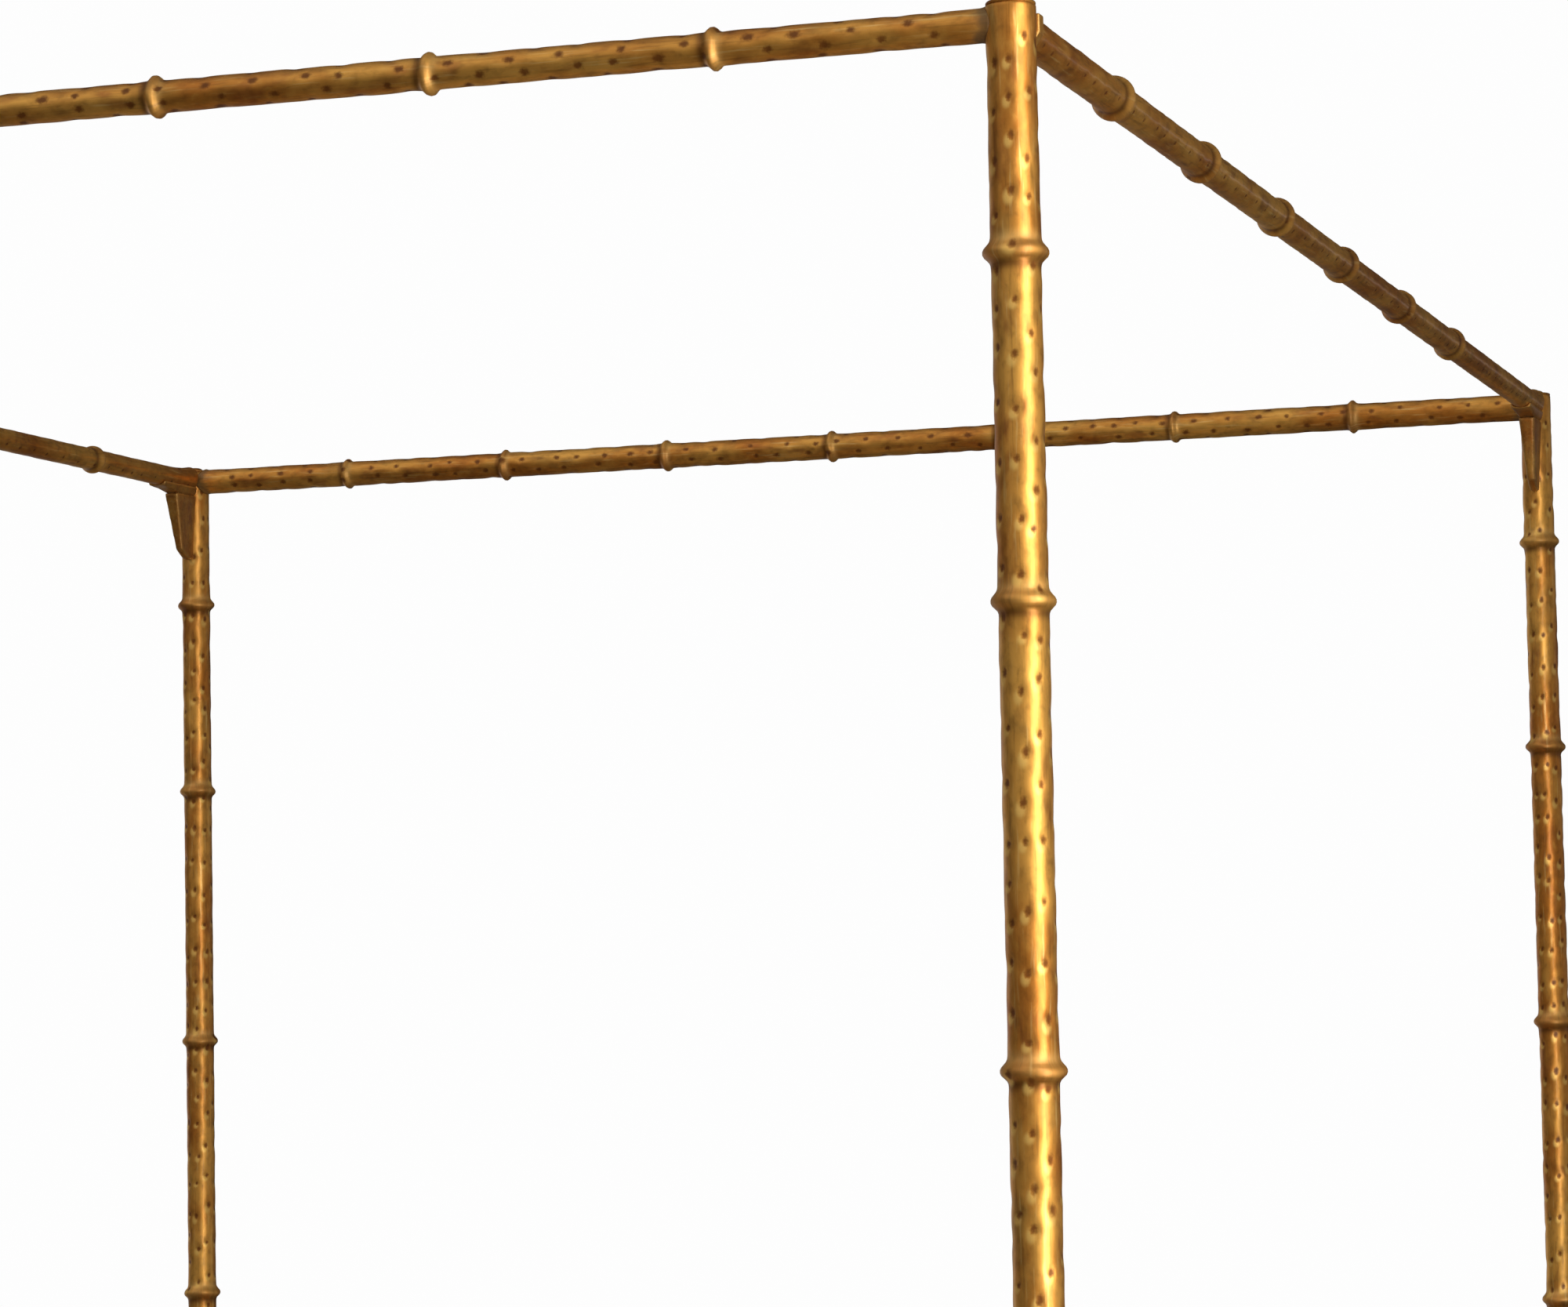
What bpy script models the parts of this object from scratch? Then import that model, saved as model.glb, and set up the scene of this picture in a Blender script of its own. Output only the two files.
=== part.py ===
"""Four poster canopy bed in gilt faux-bamboo steel tube.

Frame: +Z up, X across the bed, Y along it (head end at +Y), origin on the floor
under the middle of the bed. Lengths are in metres.

Two welded end frames (head and foot) stand on levelling feet. Two canopy side rails
lift off: each drops a tapered hook into a socket on its head post and lies in a
cradle on its foot post. Two angle iron mattress rails are bolted to the posts.
"""

import math

import bmesh
import bpy

# ---- driving dimensions -------------------------------------------------------
WIDTH = 1.650            # post axis to post axis, across
LENGTH = 2.200           # post axis to post axis, along
SEGMENT = 0.3048         # full bamboo segment of a post
CANOPY_Z = 2.1336        # axis of the canopy rails
GAP = 0.0003             # between touching pieces
FIT = 0.0004             # running clearance of lift-off pieces

POST_R = 0.0167
POST_WALL = 0.0020
POST_FLOOR = 0.0105      # lower end of the post tube
POST_TOP = CANOPY_Z + 0.0125
POST_NODE_LEN = 0.0216
POST_NODE_RISE = 0.0052
POST_SIDES = 12
NODE_CREST = 0.09        # half the flat crest of a node ring, as a share of its length
# depths of the nodes below the canopy rail: two short segments, then full ones
POST_NODE_DEPTHS = [0.5 * SEGMENT, 1.25 * SEGMENT] + [(1.25 + i) * SEGMENT for i in range(1, 6)]

SIDE_RAIL_R = 0.0126
HEAD_RAIL_R = 0.0148
FOOT_RAIL_R = 0.0115
RAIL_WALL = 0.0015
RAIL_NODE_LEN = 0.0150
RAIL_NODE_RISE = 0.0038
RAIL_SIDES = 12
RAIL_BITE = 0.0080       # of a cross rail's end inside the line of the post axis
CANOPY_SEGMENTS = 8      # bamboo segments of each canopy rail
SIDE_RAIL_NODES = {"right": 6, "left": 7}   # the right rail runs plain into its hook
SIDE_RAIL_END = 0.0176   # square cut end of a side rail, from the post axis

CAP_FLANGE = 0.0016
CAP_EDGE = 0.0008        # chamfer of the flange
CAP_BUTTON_R = 0.0088
CAP_RISE = 0.0034
CAP_DOME = ((0.0, 1.0), (0.62, 0.80), (0.92, 0.45), (1.0, 0.0))  # shares of radius and rise
CAP_PLUG = 0.020

FOOT_PAD_R = 0.0190
FOOT_PAD_H = 0.0080
FOOT_PAD_NECK = 0.85     # top of the pad's bevel, as a share of its radius
FOOT_PAD_EDGE = 0.45     # foot of the bevel, as a share of its height
FOOT_STUD_R = 0.0048
FOOT_STUD_TOP = 0.062
FOOT_NUT_R = 0.0090
INSERT_HEIGHT = 0.030
INSERT_INSET = 0.0010
INSERT_BORE_R = 0.0053

# hook and socket at the head end, depths below the rail axis, reaches from the post axis
SOCKET_RIM = 0.0185
SOCKET_CHAMFER = 0.0014  # front of the rim
SOCKET_FLOOR = 0.0830    # bottom of the cavity
SOCKET_DEEP = 0.0870
SOCKET_TOE = 0.0978
SOCKET_TOE_REACH = 0.0237
SOCKET_ROOT = 0.0127     # innermost reach, before it is coped to the post
SOCKET_REACH_RIM = 0.0690
SOCKET_REACH_DEEP = 0.0470
SOCKET_WIDTH_RIM = 0.0180
SOCKET_WIDTH_DEEP = 0.0095
SOCKET_WALL = 0.0028
HOOK_SPREAD = 0.60       # widening of the hook above the rim, per unit of height
CAVITY_OVERRUN = 0.0020  # of the cavity above the rim
HOOK_FLARE_REACH = 0.1070
HOOK_BEND_REACH = 0.0850
HOOK_BEND_DROP = 0.0026  # casting under the tube at the bend of its flare
HOOK_SADDLE_RISE = 0.0050
HOOK_LIP = 0.0012
TONGUE_TIP = 0.0810
TONGUE_ROOT = 0.0020     # of the tongue inside the saddle
SADDLE_LENGTH = 0.4000

# cradle at the foot end, measured from the rail axis and the post axis
CRADLE_REACH = 0.0235
CRADLE_HALF = 0.0162
CRADLE_RISE = 0.0084
CRADLE_DROP = 0.0210
CRADLE_TIP_HALF = 0.0060
CRADLE_TIP_ROUND = 0.0020

BOARD_RAIL_R = 0.0121
BOARD_BOTTOM_Z = 0.420
HEADBOARD_TOP_Z = 1.000
FOOTBOARD_TOP_Z = 0.660
SPINDLE_R = 0.0080
SPINDLE_SIDES = 8
SPINDLE_WALL = 0.0012
SPINDLE_NODE_LEN = 0.0110
SPINDLE_NODE_RISE = 0.0026
SPINDLE_BITE = 0.0060    # of a spindle's end past the axis of a board rail

ANGLE_LEG = 0.0380
ANGLE_WALL = 0.0035
ANGLE_FACE_X = 0.7780    # outer face of a mattress rail
ANGLE_Z = 0.2900         # underside of a mattress rail
BRACKET_WALL = 0.0040
BRACKET_HEIGHT = 0.0500
BRACKET_TAIL = 0.0600
BRACKET_LAP = 0.0060     # past the post's axis, and below the rail
BOLT_R = 0.0038
BOLT_HOLE_R = 0.0044
BOLT_HEAD_R = 0.0075
BOLT_HEAD_H = 0.0050
BOLT_CROWN = 0.80        # top of the head's chamfer, as a share of its radius
BOLT_CHAMFER = 0.40      # foot of the chamfer, as a share of the head's height
BOLT_HEIGHT = 0.0220     # above the underside of the rail
BOLT_ALONG = 0.55        # of the bracket's tail
BOLT_SIDES = 12
HOLE_DEPTH = 0.0300

SLAT_COUNT = 7
SLAT_WIDTH = 0.0700
SLAT_THICK = 0.0140
SLAT_PLAY = 0.0010
SLAT_FIRST_Y = 0.9000    # outermost slats, either side of the middle
CENTRE_RAIL_SIZE = 0.0300
CENTRE_RAIL_LENGTH = 1.9000
LEG_Y = 0.4500
LEG_R = 0.0120
LEG_WALL = 0.0020
LEG_SIDES = 12
GLIDE_R = 0.0160
GLIDE_H = 0.0100
GLIDE_PLUG = 0.0180

HALF_W = WIDTH / 2
HALF_L = LENGTH / 2
POST_SPOTS = {
    "foot_right": (HALF_W, -HALF_L),
    "head_right": (HALF_W, HALF_L),
    "head_left": (-HALF_W, HALF_L),
    "foot_left": (-HALF_W, -HALF_L),
}
SIDES = {"right": 1, "left": -1}

GILT = ((0.52, 0.33, 0.11, 1.0), 0.38, 1.0)
GILT_DARK = ((0.34, 0.21, 0.07, 1.0), 0.45, 1.0)
STEEL = ((0.38, 0.38, 0.38, 1.0), 0.40, 1.0)
BLACK_STEEL = ((0.035, 0.034, 0.033, 1.0), 0.50, 0.6)
PLASTIC = ((0.03, 0.03, 0.03, 1.0), 0.55, 0.0)
PINE = ((0.62, 0.43, 0.24, 1.0), 0.60, 0.0)


# ---- scene and helpers --------------------------------------------------------
def clear_scene():
    for item in list(bpy.data.objects):
        bpy.data.objects.remove(item, do_unlink=True)


def new_collection(name):
    collection = bpy.data.collections.new(name)
    bpy.context.scene.collection.children.link(collection)
    return collection


def paint(item, look):
    colour, roughness, metallic = look
    material = bpy.data.materials.new(item.name)
    material.use_nodes = True
    shader = material.node_tree.nodes["Principled BSDF"]
    shader.inputs["Base Color"].default_value = colour
    shader.inputs["Roughness"].default_value = roughness
    shader.inputs["Metallic"].default_value = metallic
    material.diffuse_color = colour
    item.data.materials.clear()
    item.data.materials.append(material)


def adopt(item, look=None, cutter=False):
    """Puts an object in its collection, with its material or as a cutter."""
    for owner in list(item.users_collection):
        owner.objects.unlink(item)
    if cutter:
        CUTTERS.objects.link(item)
        item.hide_render = True
        item.display_type = "WIRE"
    else:
        BED.objects.link(item)
        paint(item, look)
    return item


def outline_mesh(name, points, closed):
    """A wire of points joined by edges."""
    mesh = bpy.data.meshes.new(name)
    edges = [(i, i + 1) for i in range(len(points) - 1)]
    if closed:
        edges.append((len(points) - 1, 0))
    mesh.from_pydata(points, edges, [])
    return mesh


def turned(name, profile, sides, look, closed=False):
    """A profile of (radius, height) pairs, running down its outer side, turned about Z."""
    mesh = outline_mesh(name, [(r, 0.0, z) for r, z in profile], closed)
    item = bpy.data.objects.new(name, mesh)
    adopt(item, look)
    screw = item.modifiers.new("turn", "SCREW")
    screw.axis = "Z"
    screw.angle = math.tau
    screw.steps = sides
    screw.render_steps = sides
    screw.use_merge_vertices = True
    screw.merge_threshold = 0.00001
    screw.use_smooth_shade = False
    return item


def bamboo_profile(radius, bottom, top, nodes, node_len, rise, wall):
    """Tube wall in section: outer side down past each node ring, bore back up."""
    points = [(radius, top)]
    for z in sorted(nodes, reverse=True):
        points.append((radius, z + node_len / 2))
        points.append((radius + rise, z + node_len * NODE_CREST))
        points.append((radius + rise, z - node_len * NODE_CREST))
        points.append((radius, z - node_len / 2))
    points.append((radius, bottom))
    points.append((radius - wall, bottom))
    points.append((radius - wall, top))
    return points


def cut(item, cutter, operation="DIFFERENCE"):
    boolean = item.modifiers.new("cut", "BOOLEAN")
    boolean.operation = operation
    boolean.solver = "EXACT"
    boolean.object = cutter


def cylinder_cutter(name, radius, depth, location, rotation, sides):
    bpy.ops.mesh.primitive_cylinder_add(
        vertices=sides, radius=radius, depth=depth, location=location, rotation=rotation
    )
    item = bpy.context.object
    item.name = name
    return adopt(item, cutter=True)


def box(name, low, high, look=None, cutter=False):
    bpy.ops.mesh.primitive_cube_add(size=1.0, location=(0, 0, 0))
    item = bpy.context.object
    item.name = name
    for vertex in item.data.vertices:
        for axis in range(3):
            middle = (low[axis] + high[axis]) / 2
            vertex.co[axis] = middle + vertex.co[axis] * (high[axis] - low[axis])
    return adopt(item, look, cutter)


def flat_solid(name, outline, thickness, rotation, location, look=None, cutter=False):
    """An outline in its own XY plane, filled and thickened both ways, as a mesh."""
    curve = bpy.data.curves.new(name, "CURVE")
    curve.dimensions = "2D"
    curve.fill_mode = "BOTH"
    curve.extrude = thickness / 2
    spline = curve.splines.new("POLY")
    spline.points.add(len(outline) - 1)
    for point, (x, y) in zip(spline.points, outline):
        point.co = (x, y, 0.0, 1.0)
    spline.use_cyclic_u = True
    source = bpy.data.objects.new(name + "_outline", curve)
    bpy.context.scene.collection.objects.link(source)
    source.location = location
    source.rotation_euler = rotation
    bpy.context.view_layer.update()
    depsgraph = bpy.context.evaluated_depsgraph_get()
    mesh = bpy.data.meshes.new_from_object(source.evaluated_get(depsgraph))
    shape = bmesh.new()
    shape.from_mesh(mesh)
    bmesh.ops.remove_doubles(shape, verts=shape.verts, dist=0.00001)
    bmesh.ops.recalc_face_normals(shape, faces=shape.faces)
    shape.to_mesh(mesh)
    shape.free()
    item = bpy.data.objects.new(name, mesh)
    bpy.context.scene.collection.objects.link(item)
    item.matrix_world = source.matrix_world.copy()
    bpy.data.objects.remove(source, do_unlink=True)
    return adopt(item, look, cutter)


def smooth(item, degrees=40):
    item.data.shade_smooth()
    item.data.set_sharp_from_angle(angle=math.radians(degrees))


def arc(centre, radius, start, end, count):
    """Points on a circle between two angles in degrees, both ends included."""
    points = []
    for i in range(count + 1):
        angle = math.radians(start + (end - start) * i / count)
        points.append((centre[0] + radius * math.cos(angle), centre[1] + radius * math.sin(angle)))
    return points


# ---- end frames ---------------------------------------------------------------
def post(corner, spot):
    nodes = [CANOPY_Z - depth for depth in POST_NODE_DEPTHS]
    profile = bamboo_profile(
        POST_R, POST_FLOOR, POST_TOP, nodes, POST_NODE_LEN, POST_NODE_RISE, POST_WALL
    )
    item = turned("post_" + corner, profile, POST_SIDES, GILT, closed=True)
    item.location = (spot[0], spot[1], 0.0)
    return item


def post_cap(corner, spot):
    """Flange flush with the tube, a low button on top and a plug down the bore."""
    seat = POST_TOP + GAP
    plug_r = POST_R - POST_WALL - GAP
    profile = [
        (CAP_BUTTON_R * across, seat + CAP_FLANGE + CAP_RISE * up) for across, up in CAP_DOME
    ]
    profile += [
        (POST_R - CAP_EDGE, seat + CAP_FLANGE),
        (POST_R, seat + CAP_FLANGE - CAP_EDGE),
        (POST_R, seat),
        (plug_r, seat),
        (plug_r, POST_TOP - CAP_PLUG),
        (0.0, POST_TOP - CAP_PLUG),
    ]
    item = turned("post_cap_" + corner, profile, POST_SIDES, GILT)
    item.location = (spot[0], spot[1], 0.0)
    return item


def foot_insert(corner, spot):
    """Threaded plug pressed into the lower end of the post."""
    outer = POST_R - POST_WALL - GAP
    low = POST_FLOOR + INSERT_INSET
    profile = [
        (outer, low + INSERT_HEIGHT),
        (outer, low),
        (INSERT_BORE_R, low),
        (INSERT_BORE_R, low + INSERT_HEIGHT),
    ]
    item = turned("foot_insert_" + corner, profile, POST_SIDES, BLACK_STEEL, closed=True)
    item.location = (spot[0], spot[1], 0.0)
    return item


def levelling_foot(corner, spot):
    """Plastic pad on a threaded stud; its object stands on the stud's axis."""
    profile = [
        (0.0, FOOT_STUD_TOP),
        (FOOT_STUD_R, FOOT_STUD_TOP),
        (FOOT_STUD_R, POST_FLOOR - GAP),
        (FOOT_NUT_R, POST_FLOOR - GAP),
        (FOOT_NUT_R, FOOT_PAD_H),
        (FOOT_PAD_R * FOOT_PAD_NECK, FOOT_PAD_H),
        (FOOT_PAD_R, FOOT_PAD_H * FOOT_PAD_EDGE),
        (FOOT_PAD_R, 0.0),
        (0.0, 0.0),
    ]
    item = turned("levelling_foot_" + corner, profile, POST_SIDES, PLASTIC)
    item.location = (spot[0], spot[1], 0.0)
    return item


def post_cutter(corner, spot):
    return cylinder_cutter(
        "cope_" + corner, POST_R + GAP, 2 * CANOPY_Z, (spot[0], spot[1], CANOPY_Z / 2),
        (0, 0, 0), POST_SIDES,
    )


def cross_rail(name, y, z, radius, segments, copes):
    """A bamboo tube across the bed, its ends coped round the two posts it is welded to."""
    half = HALF_W - RAIL_BITE
    nodes = [WIDTH * (i / segments - 0.5) for i in range(1, segments)]
    profile = bamboo_profile(radius, -half, half, nodes, RAIL_NODE_LEN, RAIL_NODE_RISE, RAIL_WALL)
    item = turned(name, profile, RAIL_SIDES, GILT, closed=True)
    item.rotation_euler = (0, math.pi / 2, 0)
    item.location = (0, y, z)
    for cope in copes:
        cut(item, cope)
    return item


def spindle(name, x, y, bottom_z, top_z):
    """A thin bamboo upright, coped over the two board rails it is welded between."""
    middle = (bottom_z + top_z) / 2
    profile = bamboo_profile(
        SPINDLE_R, bottom_z + SPINDLE_BITE, top_z - SPINDLE_BITE, [middle],
        SPINDLE_NODE_LEN, SPINDLE_NODE_RISE, SPINDLE_WALL,
    )
    item = turned(name, profile, SPINDLE_SIDES, GILT, closed=True)
    item.location = (x, y, 0)
    for end, z in (("low", bottom_z), ("high", top_z)):
        cope = cylinder_cutter(
            name + "_cope_" + end, BOARD_RAIL_R + GAP, 4 * SPINDLE_R, (x, y, z),
            (0, math.pi / 2, 0), RAIL_SIDES,
        )
        cut(item, cope)
    return item


def board(end, y, top_z, copes):
    """Headboard or footboard: two bamboo rails with four spindles between them."""
    cross_rail(end + "board_top_rail", y, top_z, BOARD_RAIL_R, 4, copes)
    cross_rail(end + "board_bottom_rail", y, BOARD_BOTTOM_Z, BOARD_RAIL_R, 4, copes)
    for number in range(4):
        x = WIDTH * ((2 * number + 1) / 8 - 0.5)
        spindle("%sboard_spindle_%d" % (end, number + 1), x, y, BOARD_BOTTOM_Z, top_z)


# ---- lift-off canopy side rails -----------------------------------------------
def side_rail(side, sign):
    half = HALF_L - SIDE_RAIL_END
    count = SIDE_RAIL_NODES[side]
    nodes = [LENGTH * (i / CANOPY_SEGMENTS - 0.5) for i in range(1, count + 1)]
    profile = bamboo_profile(
        SIDE_RAIL_R, -half, half, nodes, RAIL_NODE_LEN, RAIL_NODE_RISE, RAIL_WALL
    )
    item = turned("canopy_side_rail_" + side, profile, RAIL_SIDES, GILT, closed=True)
    item.rotation_euler = (-math.pi / 2, 0, 0)
    item.location = (sign * HALF_W, 0, CANOPY_Z)
    return item


def reach_at(depth, inset):
    """Front of the socket at a depth below the rail axis, set in by its wall."""
    share = (depth - SOCKET_RIM) / (SOCKET_DEEP - SOCKET_RIM)
    return SOCKET_REACH_RIM + share * (SOCKET_REACH_DEEP - SOCKET_REACH_RIM) - inset


def width_at(depth, inset):
    """Width across the hook and socket at a depth below the rail axis, set in both sides."""
    if depth < SOCKET_RIM:
        return SOCKET_WIDTH_RIM + HOOK_SPREAD * (SOCKET_RIM - depth) - 2 * inset
    share = min(1.0, (depth - SOCKET_RIM) / (SOCKET_DEEP - SOCKET_RIM))
    return SOCKET_WIDTH_RIM + share * (SOCKET_WIDTH_DEEP - SOCKET_WIDTH_RIM) - 2 * inset


def wedge(name, outline, inset, sign, look=None, cutter=False):
    """A side outline of (reach from the post axis, depth) pairs, thinner with depth."""
    item = flat_solid(
        name, [(reach, -depth) for reach, depth in outline], 1.0,
        (math.pi / 2, 0, -math.pi / 2), (sign * HALF_W, HALF_L, CANOPY_Z), look, cutter,
    )
    for vertex in item.data.vertices:
        vertex.co.z *= width_at(-vertex.co.y, inset)
    return item


def hook_socket(side, sign, cope):
    """Cast tapered cup on the head post, open at the top."""
    shoulder = SOCKET_RIM + 2 * SOCKET_CHAMFER
    outline = [
        (SOCKET_ROOT, SOCKET_RIM),
        (SOCKET_REACH_RIM - SOCKET_CHAMFER, SOCKET_RIM),
        (reach_at(shoulder, 0.0), shoulder),
        (SOCKET_REACH_DEEP, SOCKET_DEEP),
    ]
    outline += arc((SOCKET_TOE_REACH, SOCKET_FLOOR), SOCKET_TOE - SOCKET_FLOOR, 60, 150, 4)
    item = wedge("hook_socket_" + side, outline, 0.0, sign, GILT_DARK)
    back = POST_R + GAP + SOCKET_WALL
    mouth = SOCKET_RIM - CAVITY_OVERRUN
    cavity = [
        (back, mouth),
        (reach_at(mouth, SOCKET_WALL), mouth),
        (reach_at(SOCKET_FLOOR, SOCKET_WALL), SOCKET_FLOOR),
        (back, SOCKET_FLOOR),
    ]
    hollow = wedge("socket_cavity_" + side, cavity, SOCKET_WALL, sign, cutter=True)
    cut(item, hollow)
    cut(item, cope)
    return item


def hook(side, sign):
    """Casting welded under the head end of a side rail: saddle, flare and tongue."""
    shoulder = SOCKET_RIM - GAP
    top = SIDE_RAIL_R - HOOK_SADDLE_RISE
    flare = [
        (SIDE_RAIL_END, top),
        (HOOK_FLARE_REACH, top),
        (HOOK_FLARE_REACH, SIDE_RAIL_R + HOOK_LIP),
        (HOOK_BEND_REACH, SIDE_RAIL_R + HOOK_BEND_DROP),
        (SOCKET_REACH_RIM - SOCKET_CHAMFER, shoulder),
        (SIDE_RAIL_END, shoulder),
    ]
    item = wedge("canopy_hook_" + side, flare, 0.0, sign, GILT_DARK)
    play = SOCKET_WALL + FIT
    back = POST_R + GAP + play
    root = shoulder - TONGUE_ROOT
    tongue = [
        (back, root),
        (reach_at(root, play), root),
        (reach_at(TONGUE_TIP, play), TONGUE_TIP),
        (back, TONGUE_TIP),
    ]
    blade = wedge("hook_tongue_" + side, tongue, play, sign, cutter=True)
    cut(item, blade, "UNION")
    bed_of_tube = cylinder_cutter(
        "hook_saddle_" + side, SIDE_RAIL_R + GAP, SADDLE_LENGTH,
        (sign * HALF_W, HALF_L - SADDLE_LENGTH / 4, CANOPY_Z), (math.pi / 2, 0, 0), RAIL_SIDES,
    )
    cut(item, bed_of_tube)
    return item


def cradle(side, sign, cope):
    """Cast shield on the foot post with a notch, open at the top, for the rail's end."""
    notch = SIDE_RAIL_R + FIT
    outline = [(CRADLE_HALF, CRADLE_RISE), (CRADLE_HALF, -CRADLE_RISE / 2)]
    outline += [
        (CRADLE_TIP_HALF, CRADLE_TIP_ROUND - CRADLE_DROP), (CRADLE_TIP_HALF / 2, -CRADLE_DROP),
    ]
    outline += [(-x, z) for x, z in reversed(outline)]
    outline.append((-notch, CRADLE_RISE))
    outline += arc((0.0, 0.0), notch, 180, 360, 10)
    outline.append((notch, CRADLE_RISE))
    near = FOOT_RAIL_R + 2 * GAP
    item = flat_solid(
        "rail_cradle_" + side, outline, CRADLE_REACH - near, (math.pi / 2, 0, 0),
        (sign * HALF_W, -HALF_L + (CRADLE_REACH + near) / 2, CANOPY_Z), GILT_DARK,
    )
    cut(item, cope)
    return item


# ---- mattress base ------------------------------------------------------------
def bolt_spot(sign, end):
    post_face = HALF_L - POST_R - GAP - BRACKET_WALL
    y = end * (post_face - BRACKET_TAIL * BOLT_ALONG)
    return (sign * ANGLE_FACE_X, y, ANGLE_Z + BOLT_HEIGHT)


def mattress_rail(side, sign):
    """Angle iron, its flat leg pointing inwards under the slats."""
    leg, wall = ANGLE_LEG, ANGLE_WALL
    outline = [(0, 0), (0, leg), (-wall, leg), (-wall, wall), (-leg, wall), (-leg, 0)]
    outline = [(sign * x, z) for x, z in outline]
    length = 2 * (HALF_L - POST_R - 2 * GAP - BRACKET_WALL)
    item = flat_solid(
        "mattress_rail_" + side, outline, length, (math.pi / 2, 0, 0),
        (sign * ANGLE_FACE_X, 0, ANGLE_Z), BLACK_STEEL,
    )
    for end in (-1, 1):
        hole = cylinder_cutter(
            "rail_hole_%s_%d" % (side, end), BOLT_HOLE_R, HOLE_DEPTH, bolt_spot(sign, end),
            (0, math.pi / 2, 0), BOLT_SIDES,
        )
        cut(item, hole)
    return item


def bracket(corner, spot):
    """Bent plate: one leg welded to the post, the other bolted outside the rail."""
    sign = math.copysign(1, spot[0])
    end = math.copysign(1, spot[1])
    inner = ANGLE_FACE_X + GAP
    outer = inner + BRACKET_WALL
    lap = HALF_W + BRACKET_LAP
    face = HALF_L - POST_R - GAP
    bend = face - BRACKET_WALL
    tail = bend - BRACKET_TAIL
    outline = [
        (inner, tail), (outer, tail), (outer, bend), (lap, bend), (lap, face), (inner, face),
    ]
    outline = [(sign * x, end * y) for x, y in outline]
    item = flat_solid(
        "rail_bracket_" + corner, outline, BRACKET_HEIGHT, (0, 0, 0),
        (0, 0, ANGLE_Z + BRACKET_HEIGHT / 2 - BRACKET_LAP), BLACK_STEEL,
    )
    hole = cylinder_cutter(
        "bracket_hole_" + corner, BOLT_HOLE_R, HOLE_DEPTH, bolt_spot(sign, end),
        (0, math.pi / 2, 0), BOLT_SIDES,
    )
    cut(item, hole)
    return item


def rail_bolt(corner, spot):
    """Bolt through the bracket and the rail, with its nut made on as one piece."""
    sign = math.copysign(1, spot[0])
    end = math.copysign(1, spot[1])
    outer = GAP + BRACKET_WALL + GAP
    inner = -(ANGLE_WALL + GAP)
    profile = [
        (0.0, outer + BOLT_HEAD_H),
        (BOLT_HEAD_R * BOLT_CROWN, outer + BOLT_HEAD_H),
        (BOLT_HEAD_R, outer + BOLT_HEAD_H * BOLT_CHAMFER),
        (BOLT_HEAD_R, outer),
        (BOLT_R, outer),
        (BOLT_R, inner),
        (BOLT_HEAD_R, inner),
        (BOLT_HEAD_R, inner - BOLT_HEAD_H),
        (0.0, inner - BOLT_HEAD_H),
    ]
    item = turned("rail_bolt_" + corner, profile, BOLT_SIDES, STEEL)
    item.location = bolt_spot(sign, end)
    item.rotation_euler = (0, sign * math.pi / 2, 0)
    return item


def slat(number):
    y = SLAT_FIRST_Y * (2 * number / (SLAT_COUNT - 1) - 1)
    half = ANGLE_FACE_X - ANGLE_WALL - SLAT_PLAY
    low_z = ANGLE_Z + ANGLE_WALL + GAP
    return box(
        "slat_%d" % (number + 1), (-half, y - SLAT_WIDTH / 2, low_z),
        (half, y + SLAT_WIDTH / 2, low_z + SLAT_THICK), PINE,
    )


def centre_support():
    """Square tube under the slats, on two round legs with plastic glides."""
    top = ANGLE_Z + ANGLE_WALL
    half = CENTRE_RAIL_SIZE / 2
    low = top - CENTRE_RAIL_SIZE
    rail = box(
        "centre_rail", (-half, -CENTRE_RAIL_LENGTH / 2, low), (half, CENTRE_RAIL_LENGTH / 2, top),
        BLACK_STEEL,
    )
    bore = half - LEG_WALL
    hollow = box(
        "centre_rail_bore", (-bore, -CENTRE_RAIL_LENGTH, low + LEG_WALL),
        (bore, CENTRE_RAIL_LENGTH, top - LEG_WALL), cutter=True,
    )
    cut(rail, hollow)
    for number, y in enumerate((-LEG_Y, LEG_Y)):
        leg_low = GLIDE_H
        leg = [
            (LEG_R, low - GAP), (LEG_R, leg_low), (LEG_R - LEG_WALL, leg_low),
            (LEG_R - LEG_WALL, low - GAP),
        ]
        tube = turned("centre_leg_%d" % (number + 1), leg, LEG_SIDES, BLACK_STEEL, closed=True)
        tube.location = (0, y, 0)
        plug = LEG_R - LEG_WALL - GAP
        glide = [
            (0.0, leg_low + GLIDE_PLUG), (plug, leg_low + GLIDE_PLUG), (plug, leg_low - GAP),
            (GLIDE_R, leg_low - GAP), (GLIDE_R, 0.0), (0.0, 0.0),
        ]
        pad = turned("centre_leg_glide_%d" % (number + 1), glide, LEG_SIDES, PLASTIC)
        pad.location = (0, y, 0)


# ---- assembly -----------------------------------------------------------------
clear_scene()
BED = new_collection("four_poster_canopy_bed")
CUTTERS = new_collection("cutters")

COPES = {}
for corner_name, corner_spot in POST_SPOTS.items():
    COPES[corner_name] = post_cutter(corner_name, corner_spot)
    smooth(post(corner_name, corner_spot))
    smooth(post_cap(corner_name, corner_spot))
    smooth(foot_insert(corner_name, corner_spot))
    smooth(levelling_foot(corner_name, corner_spot))
    bracket(corner_name, corner_spot)
    rail_bolt(corner_name, corner_spot)

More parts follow.
